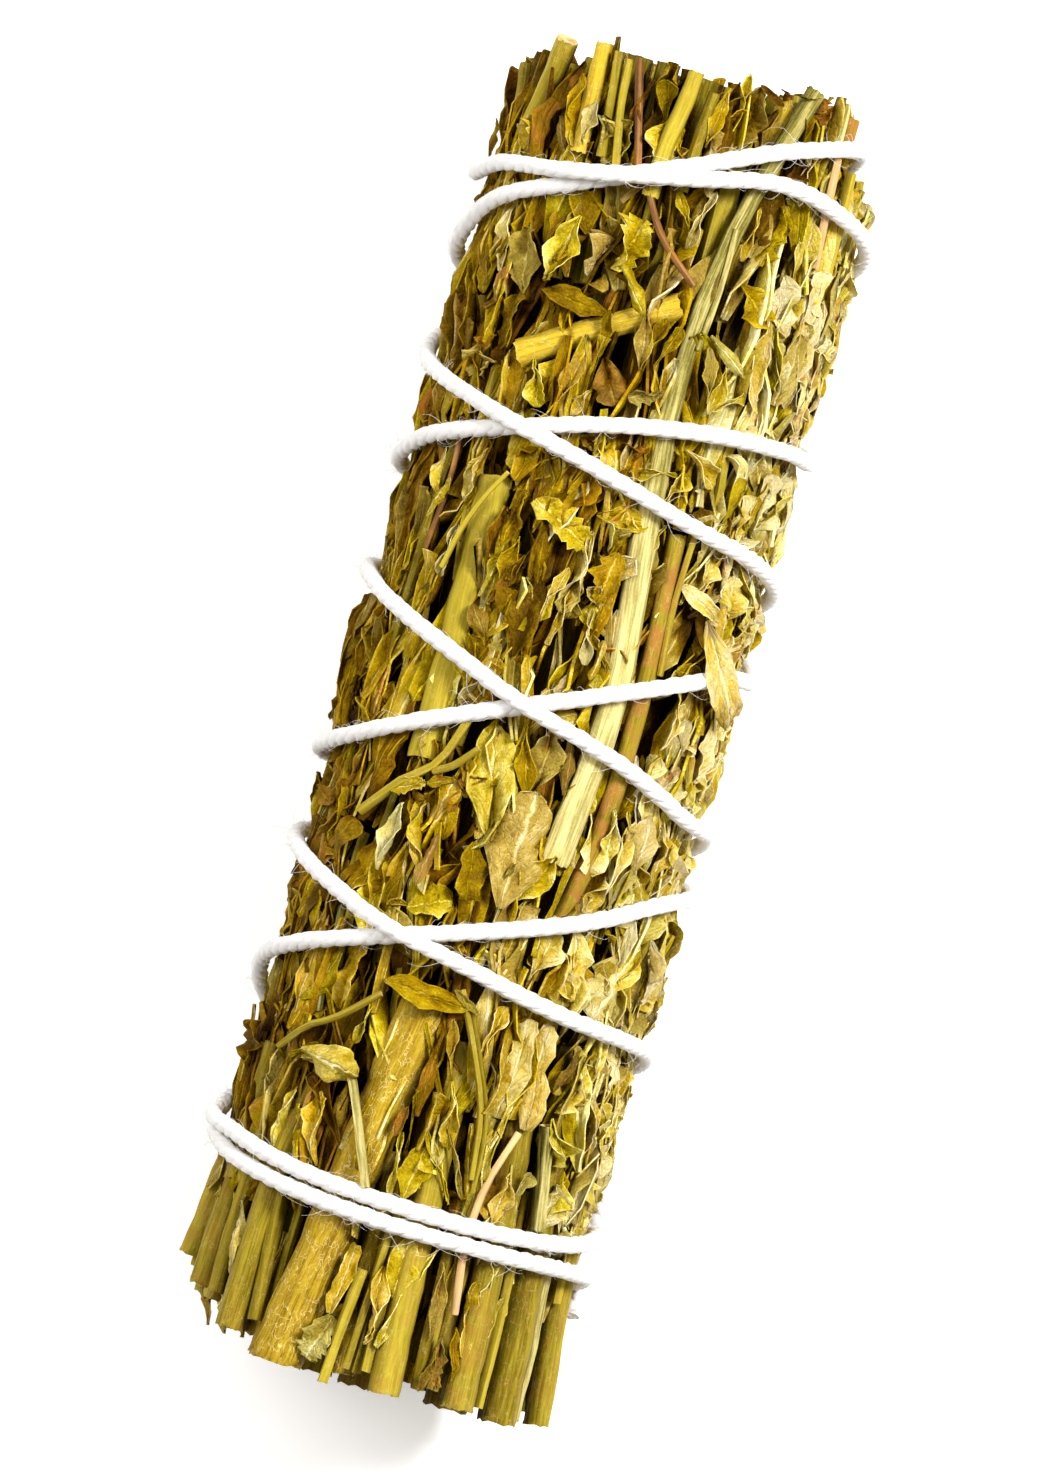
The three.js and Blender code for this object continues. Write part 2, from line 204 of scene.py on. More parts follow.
def string_climbs():
    """The string's radius at each of its angles: it climbs over its own earlier turns."""
    reach = 2 * STRING_RADIUS
    ring = STRING_RING - narrowed(string_angle, string_along)
    lift = np.zeros(len(string_angle))
    half_turn = int(180 / STEP)
    for i in range(half_turn, len(string_angle)):
        j = np.arange(0, i - half_turn)
        arc = np.radians(np.mod(string_angle[i] - string_angle[j] + 180, 360) - 180) * STRING_RING
        gap = (string_along[i] - string_along[j] - arc * string_slope[j]) / np.hypot(1, string_slope[j])
        near = (np.abs(arc) < 1) & (np.abs(gap) < reach)
        if near.any():
            over = ring[j] + lift[j] + np.sqrt(np.maximum(0, reach**2 - gap**2))
            lift[i] = max(lift[i], over[near].max() - ring[i])
    step = math.radians(STEP) * STRING_RING
    ramp = CLIMB * step * np.abs(np.arange(len(lift))[:, None] - np.arange(len(lift))[None, :])
    return ring + np.maximum(0, (lift[None, :] - ramp).max(axis=1))


string_ring = string_climbs()
string_line = around(string_angle, string_ring, string_along)
print("The string is %.0f mm long round the bundle" % lengths_along(string_line)[-1])

# %% [markdown]
# ## Modelling tools
# Each shape is started from a primitive and worked in edit mode, as by hand. Operators act on whatever is
# selected, so small helpers choose one piece, or some of its points, and apply a finished modifier. Others
# read a mesh's points and store vectors on them.

# %% Helpers for modelling
def deselect_all():
    bpy.ops.object.select_all(action="DESELECT")


def pick(piece):
    deselect_all()
    piece.select_set(True)
    bpy.context.view_layer.objects.active = piece


def choose(piece, test):
    """In edit mode, selects the points that pass the test."""
    bpy.ops.object.mode_set(mode="OBJECT")
    picked = [test(vertex.co) for vertex in piece.data.vertices]
    piece.data.polygons.foreach_set("select", [False] * len(piece.data.polygons))
    piece.data.edges.foreach_set("select", [False] * len(piece.data.edges))
    piece.data.vertices.foreach_set("select", picked)
    bpy.ops.object.mode_set(mode="EDIT")


def start_edit(piece, name):
    """Names a new primitive and opens it for editing by points."""
    piece.name = name
    bpy.ops.object.transform_apply(location=True, rotation=True, scale=True)
    bpy.ops.object.mode_set(mode="EDIT")
    bpy.ops.mesh.select_mode(type="VERT")


def finish_modifier(piece, kind, **settings):
    modifier = piece.modifiers.new(kind.title(), kind)
    for key, value in settings.items():
        setattr(modifier, key, value)
    pick(piece)
    bpy.ops.object.modifier_apply(modifier=modifier.name)


def vectors_of(items, key, kind=np.float32):
    values = np.empty(len(items) * 3, dtype=kind)
    items.foreach_get(key, values)
    return values.reshape(-1, 3)


def points_of(mesh):
    return vectors_of(mesh.vertices, "co", float)


def set_vectors(mesh, name, values):
    """Stores one vector for each point of a mesh, for its material to read."""
    attribute = mesh.attributes.get(name) or mesh.attributes.new(name, "FLOAT_VECTOR", "POINT")
    attribute.data.foreach_set("vector", np.ascontiguousarray(values, dtype=np.float32).ravel())


def copied(master):
    """A copy of a hidden master, with its own mesh."""
    copy = master.copy()
    copy.data = master.data.copy()
    bpy.context.collection.objects.link(copy)
    return copy


# %% [markdown]
# ## Leaf blanks
# A rue leaf is made of small leaflets, narrow at the foot and blunt or lobed at the tip. Dried and pressed,
# they fold, curl and crack. Each kind is modelled once as a flat blank, one unit long and one wide: a grid
# whose rows are drawn in to the outline, crumpled a little and given its thickness. Every leaf on the
# bundle is a copy of one of them, bent in its own way. Leaves are laid by the hundred, so the blanks have
# few faces, and only those for the leaves on top are finer.

# %% Blanks for the loose leaves
masters = {}


def leaf_blank(name, widths, columns, crumple, seed, thickness):
    """A flat leaf whose rows have these widths, foot first. The rows stand closer near the tip."""
    rows = len(widths) - 1
    deselect_all()
    bpy.ops.mesh.primitive_grid_add(x_subdivisions=columns, y_subdivisions=rows, size=1, location=(0, 0.5, 0))
    blank = bpy.context.object
    start_edit(blank, name)
    across = points_of(blank.data)[:, 0]
    for row, width in reversed(list(enumerate(widths))):
        place = 1 - (1 - row / rows) ** 1.4
        choose(blank, lambda co: abs(co.y - row / rows) < 0.004)
        bpy.ops.transform.resize(value=(width, 1, 1))
        bpy.ops.transform.translate(value=(0, place - row / rows, 0))
    bpy.ops.mesh.select_all(action="SELECT")
    bpy.ops.transform.vertex_random(offset=crumple, uniform=0.3, normal=0.7, seed=seed)
    bpy.ops.object.mode_set(mode="OBJECT")
    set_vectors(blank.data, "blade", np.stack([2 * across, points_of(blank.data)[:, 1], 0 * across], axis=-1))
    finish_modifier(blank, "SOLIDIFY", thickness=thickness, offset=0)
    bpy.ops.object.shade_smooth_by_angle(angle=math.radians(55))
    blank.hide_render = True
    masters[name] = blank


OUTLINES = {
    "leaflet": [0.12, 0.45, 0.85, 1.0, 0.95, 0.8, 0.52, 0.1],
    "pointed": [0.12, 0.6, 0.95, 0.95, 0.75, 0.5, 0.26, 0.04],
    "lobed": [0.14, 0.34, 0.86, 0.42, 1.0, 0.5, 0.76, 0.4, 0.1],
    "narrow": [0.4, 0.75, 0.95, 1.0, 0.92, 0.72, 0.44, 0.06],
    "spoon": [0.16, 0.16, 0.3, 0.66, 0.95, 1.0, 0.7, 0.16],
    "strip": [0.8, 0.9, 1.0, 0.85, 0.95, 0.8, 0.9],
}
for number, (name, widths) in enumerate(OUTLINES.items()):
    leaf_blank(name, widths, 2 if name == "strip" else 4, 0.02, number + 1, 0.016)
leaf_blank("crumb", [0.3, 0.8, 1.0, 0.7, 0.2], 3, 0.05, 11, 0.04)

# %% Finer blanks for the leaves that lie on top
BROAD = [0.1, 0.34, 0.6, 0.82, 0.95, 1.0, 0.97, 0.92, 0.84, 0.76, 0.66, 0.54, 0.4, 0.24, 0.05]
RAGGED = [0.3, 0.5, 0.84, 0.6, 0.9, 1.0, 0.7, 0.94, 0.62, 0.84, 0.5, 0.62, 0.3, 0.3, 0.06]
LANCE = [0.2, 0.5, 0.75, 0.92, 1.0, 0.98, 0.9, 0.82, 0.72, 0.6, 0.5, 0.38, 0.27, 0.15, 0.03]
SPATULA = [0.12, 0.12, 0.13, 0.16, 0.26, 0.46, 0.7, 0.88, 0.98, 1.0, 0.96, 0.86, 0.7, 0.48, 0.2]
RIBBON = [0.4, 0.8, 1.0, 0.86, 0.95, 1.0, 0.8, 0.9, 0.96, 0.8, 0.7, 0.74, 0.5, 0.4, 0.1]
leaf_blank("broad", BROAD, 10, 0.020, 21, 0.012)
leaf_blank("ragged", RAGGED, 10, 0.026, 22, 0.012)
leaf_blank("lance", LANCE, 8, 0.014, 23, 0.011)
leaf_blank("spatula", SPATULA, 8, 0.010, 24, 0.011)
leaf_blank("ribbon", RIBBON, 6, 0.012, 25, 0.011)
for name, blank in masters.items():
    print("Leaf blank", name, len(blank.data.polygons), "faces")

# %% Bending a blank
BENDS = 8  # steps in which a leaf's section is bent, from midrib to edge


def bent_blade(co, length, width, fold=0.0, furl=0.0, skew=0.0, curl=0.0, twist=0.0, wave=0.0, crease=0.0,
               ripple=0.0, ragged=0.1, lean=0.0, phase=0.0):
    """A leaf in millimetres. Each half leaves the midrib at the angle fold and turns on by furl towards its
    edge, and skew makes the halves unlike. The edge is ragged, leans forward and waves. The whole ripples,
    creases, curls and twists. The phase moves all these waves, so that no two leaves have them alike."""
    side, share = np.sign(co[:, 0]), co[:, 1] - 0.5
    edge = 0.65 * np.sin(12 * share + phase + 1.3 * side) + 0.35 * np.sin(25 * share + 2.7 * phase - 2 * side)
    from_rib = np.abs(co[:, 0]) * (1 + ragged * edge)
    share = share + lean * from_rib * width / length
    reach = from_rib * width
    opening = 1 + 0.5 * np.sin(5 * share + 2.3 * phase)
    turn = (fold * (1 + skew * side) * opening)[:, None] * np.ones(BENDS)
    rolled = furl * (1 - skew * side) * (0.7 + 0.5 * np.sin(4 * share + phase))
    steps = (np.arange(BENDS) + 0.5) / BENDS
    turn = turn + rolled[:, None] * (2 * from_rib[:, None] * steps) ** 2
    across = side * reach * np.cos(turn).mean(axis=1)
    height = reach * np.sin(turn).mean(axis=1) - 0.2 * width * math.sin(fold)
    last = turn[:, -1]
    across -= side * co[:, 2] * length * np.sin(last)
    height += co[:, 2] * length * np.cos(last)
    height += crease * width * np.cos(4 * np.pi * co[:, 0] + phase) * (0.6 + 0.8 * np.sin(5 * share + phase))
    height += ripple * length * np.sin(7 * share + 1.7 * phase + 2 * co[:, 0])
    height += wave * width * (2 * co[:, 0]) ** 2 * np.sin(9 * share + phase)
    height += 0.5 * wave * width * np.abs(2 * co[:, 0]) * np.sin(21 * share + 2 * phase + 3 * side)
    sine, cosine = np.sin(twist * share), np.cos(twist * share)
    across, height = across * cosine - height * sine, across * sine + height * cosine
    bend = curl if abs(curl) > 0.01 else 0.01
    radius = length / bend
    up = (radius - height) * np.sin(bend * share)
    height = radius - (radius - height) * np.cos(bend * share)
    return np.stack([across, up, height], axis=-1)


def turned(co, heading, pitch, roll):
    """Turns points about their length (roll), their width (pitch) and the outward line (heading)."""
    h, p, r = np.radians([heading, pitch, roll])
    x, y, z = co.T
    x, z = x * np.cos(r) + z * np.sin(r), -x * np.sin(r) + z * np.cos(r)
    y, z = y * np.cos(p) - z * np.sin(p), y * np.sin(p) + z * np.cos(p)
    return np.stack([x * np.cos(h) + y * np.sin(h), -x * np.sin(h) + y * np.cos(h), z], axis=-1)


# %% [markdown]
# ## How far the leaves may stand out
# The leaves bulge between the turns of string and are pressed in under them. One function gives the
# outermost radius at any place, and every point that lies beyond it is eased in. The order of the layers
# stays, so nothing is cut off flat. Underneath, the limit is the surface that the bundle lies on.

# %% The outer limit of the leaves
UNDER_STRING = STRING_RING - STRING_RADIUS - 0.12
BULGE = 16.3  # how far the leaves stand out between the turns of string
REST_PLANE = 0.1  # the lowest leaves lie this far over the surface
TIP_END, BUTT_END = 54.6, 53.6  # how far from the middle the bundle is chopped at its two ends


def outer_limit(angle, along):
    near = smooth(string_distance(angle, along), 0.5, 3.2)
    lumps = 0.35 * np.sin(np.radians(3 * angle) + along * 0.21)
    lumps = lumps + 0.25 * np.sin(along * 0.55 + np.radians(angle))
    ends = 0.9 * smooth(along, 49, 55) + 0.6 * smooth(-along, 44, 53)
    open_limit = BULGE + lumps - ends
    limit = UNDER_STRING + (open_limit - UNDER_STRING) * near - narrowed(angle, along)
    down = -np.cos(np.radians(angle))
    floor = (AXIS_Z - REST_PLANE) / np.maximum(down, 0.2)
    return np.minimum(limit, floor)


def pressed(angle, radius, along, margin=0.45, proud=0.0):
    """Radii eased in to the outer limit, or to this far past it."""
    limit = outer_limit(angle, along) + proud
    over = radius - (limit - margin)
    return np.where(over > 0, limit - margin * np.exp(-np.maximum(over, 0) / margin), radius)


def tip_limit(angle, radius=SURFACE):
    """The tips are chopped square. They are a little shorter at the -X side, and the outermost of them are
    much shorter at the +X side."""
    side = np.sin(np.radians(angle))
    shorter = 2.6 * smooth(-side, 0.7, 1) + 6.5 * smooth(side, 0.82, 1) * smooth(radius, 12.4, 13.6)
    return TIP_END - shorter + 0.5 * np.sin(np.radians(angle) * 9)


def chopped(angle, radius, along, margin=0.7):
    """Places along the bundle, eased back to the tips' limit."""
    limit = tip_limit(angle, radius)
    eased = limit + margin * (1 - np.exp(-np.maximum(along - limit, 0) / margin))
    return np.where(along > limit, eased, along)


def seen(x, radius):
    """The angle round the bundle of a place that lies this far to the right, as seen from above."""
    return math.degrees(math.asin(max(-0.995, min(0.995, x / radius))))


# %% Laying one copy on the bundle
def lay(master, blade, angle, radius, along, heading, pitch, roll, tint, proud):
    """A copy of a master with its own mesh, turned to its heading and wrapped round the bundle."""
    copy = copied(master)
    place = turned(blade, heading, pitch, roll)
    angles = angle + np.degrees(place[:, 0] / max(radius, 6))
    radii = radius + place[:, 2]
    alongs = chopped(angles, radii, along + place[:, 1])
    over = radii - outer_limit(angles, alongs) - proud + 0.35
    radii = radii - max(0, np.quantile(over, 0.92))  # it sinks whole, so that its folds are not flattened
    radii = pressed(angles, np.maximum(radii, 1.0), alongs, proud=proud)
    copy.data.vertices.foreach_set("co", (around(angles, radii, alongs) * MM).ravel())
    set_vectors(copy.data, "tint", np.tile(tint, (len(place), 1)))
    return copy


def joined(copies, name, material=None):
    """Joins copies into one piece that rides on the bundle."""
    deselect_all()
    for copy in copies:
        copy.hide_render = False
        copy.select_set(True)
    bpy.context.view_layer.objects.active = copies[0]
    bpy.ops.object.join()
    piece = bpy.context.object
    piece.name = piece.data.name = name
    if material:
        piece.data.materials.clear()
        piece.data.materials.append(material)
    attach(piece, "root")
    return piece


# %% [markdown]
# ## Stems
# A rue stem is round with low ridges, thickens at its leaf joints, and is cut straight across, so that its
# dry rim stands a little proud of the pith. It could be a curve with a bevel, but a curve has plain ends.
# So a blank is modelled: a short cylinder whose top is extruded again and again, with every other edge
# drawn in for the ridges and both ends inset. There are three such blanks, ridged, round and thin. A stem
# that the frame has is a copy bent along the line of its own solid, and the thinner stalks between them
# follow lines of their own.

# %% Stem blanks
RIM = 0.3  # how far the cut rim goes past the pith, in stem radii


def stem_blank(name, sides=16, rings=20, ridge=0.93, seed=3):
    """A stem of unit radius and length with every other edge drawn in to the share ridge."""
    deselect_all()
    step = 1 / rings
    bpy.ops.mesh.primitive_cylinder_add(vertices=sides, radius=1, depth=step, location=(0, 0, step / 2))
    blank = bpy.context.object
    start_edit(blank, name)
    for ring in range(1, rings):
        choose(blank, lambda co: co.z > ring * step - 0.01)
        bpy.ops.mesh.extrude_region_move(TRANSFORM_OT_translate={"value": (0, 0, step)})
    choose(blank, lambda co: round(math.degrees(math.atan2(co.y, co.x)) * sides / 360) % 2 == 0)
    bpy.ops.transform.resize(value=(ridge, ridge, 1))
    for top in (True, False):
        out = 1 if top else -1
        choose(blank, lambda co: (co.z > 1 - step / 2) if top else (co.z < step / 2))
        bpy.ops.mesh.extrude_region_move(TRANSFORM_OT_translate={"value": (0, 0, out * RIM)})
        bpy.ops.transform.vertex_random(offset=0.09, uniform=1, normal=0, seed=seed)
        bpy.ops.mesh.inset(thickness=0.26, depth=0)
        bpy.ops.transform.translate(value=(0, 0, -out * 0.16))
        bpy.ops.mesh.inset(thickness=0.3, depth=0)
        bpy.ops.transform.translate(value=(0, 0, -out * 0.1))
    bpy.ops.object.mode_set(mode="OBJECT")
    bpy.ops.object.shade_smooth_by_angle(angle=math.radians(48))
    blank.data.materials.append(None)
    blank.data.materials.append(None)
    for face in blank.data.polygons:
        face.material_index = 1 if abs(face.normal.z) > 0.6 else 0
    blank.hide_render = True
    print("Stem blank", name, len(blank.data.polygons), "faces")
    return blank


ridged_stem = stem_blank("ridged_stem")
round_stem = stem_blank("round_stem", sides=20, ridge=0.985, seed=5)
thin_stem = stem_blank("thin_stem", sides=8, rings=8, ridge=0.82, seed=4)

# %% Reading a stem's line from its solid
def stem_line(name):
    """The middle points and the radii of a CAD stem, in millimetres, from its rings of points."""
    co = np.unique(np.round(points_of(nodes[name].data) / MM, 3), axis=0)
    centre = co.mean(axis=0)
    direction = np.linalg.svd(co - centre)[2][0]
    direction *= 1 if direction[1] > 0 else -1
    share = (co - centre) @ direction
    order = np.argsort(share)
    breaks = np.nonzero(np.diff(share[order]) > 0.9)[0] + 1
    rings = [co[group] for group in np.split(order, breaks)]
    middles = np.array([(ring.min(axis=0) + ring.max(axis=0)) / 2 for ring in rings])
    radii = [np.linalg.norm(ring - middle, axis=1).max() for ring, middle in zip(rings, middles)]
    return middles, np.array(radii)


def outward_of(line):
    """At each point of a line, the way out from the bundle's middle line."""
    outward = line - [AXIS_X, 0, AXIS_Z]
    outward[:, 1] = 0
    return outward


def smooth_line(reach, points, at):
    """Points at these lengths along a line through the given points, which have their own lengths reach."""
    return np.stack([cubic_through(reach, points[:, i], at) for i in range(3)], axis=-1)


WOBBLE = 0.04  # how much a stem's thickness varies along it


def lay_stem(master, middles, radii, tint, twist, flat=1.0):
    """A copy of a stem blank, bent along a line of points and given their radii."""
    copy = copied(master)
    co = points_of(copy.data)
    reach = lengths_along(middles)
    share = np.clip(co[:, 2], 0, 1)
    at = share * reach[-1]
    centre = smooth_line(reach, middles, at)
    ahead = smooth_line(reach, middles, np.minimum(at + 0.3, reach[-1]))
    forward = unit(ahead - smooth_line(reach, middles, np.maximum(at - 0.3, 0)))
    side = unit(np.cross(outward_of(centre) + [0, 0, 1e-3], forward))
    up = np.cross(forward, side)
    radius = np.interp(at, reach, radii)
    phase = tint[2] * 40
    radius = radius * (1 + WOBBLE * np.sin(at * 0.9 + phase) + 0.6 * WOBBLE * np.sin(at * 2.3 + 2 * phase))
    turn = np.arctan2(co[:, 1], co[:, 0]) + twist * share + phase
    size = np.hypot(co[:, 0], co[:, 1]) * radius
    x, y, past = size * np.cos(turn), size * np.sin(turn), (co[:, 2] - share) * radius
    placed = centre + side * x[:, None] + up * (y * flat)[:, None] + forward * past[:, None]
    placed[:, 2] = np.maximum(placed[:, 2], LOWEST)
    copy.data.vertices.foreach_set("co", (placed * MM).ravel())
    copy.data.update()
    grain = np.stack([x, y, at + past + 30 * tint[2]], axis=-1)
    set_vectors(copy.data, "grain", grain)
    set_vectors(copy.data, "tint", np.tile(tint, (len(co), 1)))
    return copy


# %% [markdown]
# ## Finishes
# Dried rue is yellow-olive, from nearly brown to straw, with paler veins and orange patches where it has
# withered. Three effects are used by more than one finish, so each is a node group: patches of another
# tone, the veins of a leaf, and the grain of a stem. The leaf's own coordinates are stored on its points as
# "blade", the stem's as "grain", and "tint" holds the tone, the witheredness and a seed for each copy, so
# that no two look alike. The tone in "tint" also carries painted shade, laid on later where a piece lies
# deep.

# %% Helpers for node trees
def new_group(name, inputs, outputs):
    """A group's tree, with the sockets that it is given and those that it has to fill."""
    group = bpy.data.node_groups.new(name, "ShaderNodeTree")
    for label, kind in inputs.items():
        group.interface.new_socket(name=label, in_out="INPUT", socket_type="NodeSocket" + kind)
    for label in outputs:
        group.interface.new_socket(name=label, in_out="OUTPUT", socket_type="NodeSocketFloat")
    return group, group.nodes.new("NodeGroupInput").outputs, group.nodes.new("NodeGroupOutput").inputs


def wire(tree, value, socket):
    """Links another node's output to a socket, or sets the socket to a plain value."""
    if isinstance(value, bpy.types.NodeSocket):
        tree.links.new(value, socket)
    else:
        socket.default_value = value


def node(tree, kind, inputs=None, **settings):
    """The outputs of a new node with these inputs, which are given by name or number."""
    made = tree.nodes.new("ShaderNode" + kind)
    for key, value in settings.items():
        setattr(made, key, value)
    for key, value in (inputs or {}).items():
        wire(tree, value, made.inputs[key])
    return made.outputs


def calc(tree, operation, a, b=0.0, c=0.0):
    return node(tree, "Math", {0: a, 1: b, 2: c}, operation=operation)[0]


def step_up(tree, value, low, high):
    """0 below low, 1 above high, smooth between."""
    settings = {"Value": value, "From Min": low, "From Max": high}
    return node(tree, "MapRange", settings, interpolation_type="SMOOTHSTEP")["Result"]


def step_down(tree, value, low, high):
    """1 below low, 0 above high, smooth between."""
    return calc(tree, "SUBTRACT", 1, step_up(tree, value, low, high))


def times(tree, a, b):
    return calc(tree, "MULTIPLY", a, b)


def centred(tree, value):
    """A value from 0 to 1, less a half."""
    return calc(tree, "SUBTRACT", value, 0.5)


def swayed(tree, base, value, amount):
    """The base, with a value from 0 to 1 moving it up or down by up to half of the amount."""
    return calc(tree, "MULTIPLY_ADD", centred(tree, value), amount, base)


def redrawn(tree, seed, factor):
    """Another number from 0 to 1 that goes with a copy's seed."""
    return calc(tree, "FRACT", times(tree, seed, factor))


def stretched(tree, vector, scale):
    return node(tree, "VectorMath", {0: vector, 1: scale}, operation="MULTIPLY")["Vector"]


def moved(tree, vector, offset):
    return node(tree, "VectorMath", {0: vector, 1: offset}, operation="ADD")["Vector"]


def noise(tree, vector, scale, detail=3.0, distortion=0.0):
    inputs = {"Vector": vector, "Scale": scale, "Detail": detail, "Distortion": distortion}
    return node(tree, "TexNoise", inputs)["Fac"]


def edges_of_cells(tree, vector, scale):
    """How far a place is from the edges of a pattern of cells."""
    settings = {"Vector": vector, "Scale": scale}
    return node(tree, "TexVoronoi", settings, feature="DISTANCE_TO_EDGE")["Distance"]


def mixed(tree, share, a, b, blend="MIX"):
    made = tree.nodes.new("ShaderNodeMix")
    made.data_type, made.blend_type = "RGBA", blend
    for value, socket in ((share, made.inputs[0]), (a, made.inputs[6]), (b, made.inputs[7])):
        wire(tree, value, socket)
    return made.outputs[2]


def ramp(tree, value, stops):
    made = tree.nodes.new("ShaderNodeValToRGB")
    wire(tree, value, made.inputs[0])
    for i, (place, colour) in enumerate(stops):
        stop = made.color_ramp.elements[i] if i < 2 else made.color_ramp.elements.new(place)
        stop.position, stop.color = place, (*colour, 1)
    return made.outputs["Color"]


# %% Three effects as node groups
def patches_group():
    group, given, wanted = new_group("Patches", {"Place": "Vector", "Seed": "Float"}, ["Broad", "Fine"])
    shift = node(group, "CombineXYZ", dict.fromkeys("XYZ", given["Seed"]))[0]
    place = moved(group, given["Place"], shift)
    wire(group, step_up(group, noise(group, place, 0.55, 2, 0.6), 0.38, 0.68), wanted["Broad"])
    wire(group, noise(group, place, 4.5, 4), wanted["Fine"])
    return group


def veins_group():
    group, given, wanted = new_group("Leaf veins", {"Blade": "Vector", "Seed": "Float"}, ["Veins", "Height"])
    across, up, _ = node(group, "SeparateXYZ", {0: given["Blade"]}).values()
    shift = node(group, "CombineXYZ", {"Z": times(group, given["Seed"], 37)})[0]
    place = moved(group, stretched(group, given["Blade"], (1.3, 4.2, 1)), shift)
    wander = centred(group, noise(group, place, 1.6, 2))
    side = calc(group, "ABSOLUTE", calc(group, "MULTIPLY_ADD", wander, 0.35, across))
    midrib = step_down(group, side, 0.03, 0.13)
    climb = calc(group, "MULTIPLY_ADD", up, 8, times(group, side, -2.4))
    fork = calc(group, "FRACT", calc(group, "MULTIPLY_ADD", wander, 1.6, climb))
    lateral = step_up(group, calc(group, "ABSOLUTE", centred(group, fork)), 0.42, 0.5)
    lateral = times(group, lateral, step_down(group, side, 0.55, 0.95))
    net = step_down(group, edges_of_cells(group, place, 3.2), 0.01, 0.07)
    veins = calc(group, "MAXIMUM", midrib, times(group, lateral, 0.75))
    wire(group, calc(group, "MAXIMUM", veins, times(group, net, 0.45)), wanted["Veins"])
    wrinkles = noise(group, place, 3.2, 3, 0.6)
    folds = calc(group, "ABSOLUTE", centred(group, noise(group, place, 0.9, 2, 0.8)))
    height = calc(group, "MULTIPLY_ADD", veins, -0.5, times(group, net, -0.2))
    height = calc(group, "MULTIPLY_ADD", folds, -2.4, height)
    wire(group, calc(group, "MULTIPLY_ADD", wrinkles, 0.5, height), wanted["Height"])
    return group


def grain_group():
    group, given, wanted = new_group("Stem grain", {"Grain": "Vector"}, ["Streaks", "Crackle", "Height"])
    long = stretched(group, given["Grain"], (1.0, 1.0, 0.06))
    coarse, fine = noise(group, long, 1.8, 3, 0.3), noise(group, long, 7, 3, 0.2)
    streaks = calc(group, "MULTIPLY_ADD", fine, 0.45, times(group, coarse, 0.55))
    wire(group, step_up(group, streaks, 0.36, 0.64), wanted["Streaks"])
    astray = node(group, "TexNoise", {"Vector": given["Grain"], "Scale": 1.3})["Color"]
    astray = stretched(group, astray, (0.9, 0.9, 0.5))
    cracked = moved(group, stretched(group, given["Grain"], (1.0, 1.0, 0.36)), astray)
    crackle = step_down(group, edges_of_cells(group, cracked, 2.2), 0.005, 0.045)
    broken = step_up(group, noise(group, given["Grain"], 0.8, 2), 0.4, 0.56)
    wire(group, times(group, crackle, broken), wanted["Crackle"])
    pits = noise(group, given["Grain"], 3.5, 3)
    wire(group, calc(group, "MULTIPLY_ADD", pits, 0.35, streaks), wanted["Height"])
    return group


PATCHES, VEINS, GRAIN = patches_group(), veins_group(), grain_group()


# %% Plant finishes
def new_material(name, roughness):
    material = bpy.data.materials.new(name)
    material.use_nodes = True
    tree = material.node_tree
    surface = tree.nodes["Principled BSDF"].inputs
    surface["Roughness"].default_value = roughness
    surface["Specular IOR Level"].default_value = 0.06
    return material, tree, surface


def bumped(tree, surface, height, strength, distance):
    settings = {"Height": height, "Strength": strength, "Distance": distance * MM}
    wire(tree, node(tree, "Bump", settings)["Normal"], surface["Normal"])


def tinted(tree):
    """A copy's tone, witheredness and seed."""
    tint = node(tree, "Attribute", attribute_name="tint")["Vector"]
    return node(tree, "SeparateXYZ", {0: tint}).values()


def object_place(tree):
    """The place on the object, in millimetres."""
    return stretched(tree, node(tree, "TexCoord")["Object"], (1 / MM,) * 3)


LEAF_TONES = [
    (0.0, (0.105, 0.048, 0.0006)),
    (0.25, (0.235, 0.131, 0.001)),
    (0.5, (0.41, 0.276, 0.006)),
    (0.75, (0.66, 0.505, 0.09)),
    (1.0, (0.88, 0.77, 0.40)),
]


def shadowed(tree, colour, shade):
    """A colour that turns nearly black where its shade falls below nothing, deep between the pieces."""
    light = calc(tree, "MULTIPLY_ADD", step_up(tree, shade, -0.7, 0.12), 0.88, 0.12)
    grey = node(tree, "CombineColor", dict.fromkeys(range(3), light))[0]
    return mixed(tree, 1.0, colour, grey, "MULTIPLY")


def leaf_material(name, tones):
    material, tree, surface = new_material(name, 0.6)
    tone, withered, seed = tinted(tree)
    blade = node(tree, "Attribute", attribute_name="blade")["Vector"]
    veins = node(tree, "Group", {"Blade": blade, "Seed": seed}, node_tree=VEINS)
    patches = node(tree, "Group", {"Place": object_place(tree), "Seed": seed}, node_tree=PATCHES)
    shade = swayed(tree, tone, patches["Fine"], 0.45)
    shade = swayed(tree, shade, patches["Broad"], 0.2)
    # The leaf's edge is made paler: partly the dried rim's own colour, partly a painted highlight where the
    # curled edge catches the light.
    margin = step_up(tree, calc(tree, "ABSOLUTE", node(tree, "SeparateXYZ", {0: blade})[0]), 0.86, 1.0)
    shade = calc(tree, "MULTIPLY_ADD", margin, 0.13, shade)
    clear = step_up(tree, tone, -0.1, 0.4)
    shade = calc(tree, "MULTIPLY_ADD", times(tree, veins["Veins"], clear), 0.33, shade)
    colour = ramp(tree, shade, tones)
    grey = step_up(tree, redrawn(tree, seed, 7), 0.45, 0.85)
    hue = calc(tree, "MULTIPLY_ADD", redrawn(tree, seed, 13), 0.022, 0.489)
    saturation = calc(tree, "MULTIPLY_ADD", times(tree, grey, clear), -0.13, 1.06)
    value = calc(tree, "MULTIPLY_ADD", grey, -0.2, 1.05)
    settings = {"Hue": hue, "Saturation": saturation, "Value": value, "Color": colour}
    colour = node(tree, "HueSaturation", settings)["Color"]
    colour = mixed(tree, times(tree, withered, patches["Broad"]), colour, (0.40, 0.15, 0.014, 1))
    wire(tree, shadowed(tree, colour, shade), surface["Base Color"])
    bumped(tree, surface, veins["Height"], 0.95, 0.23)
    return material


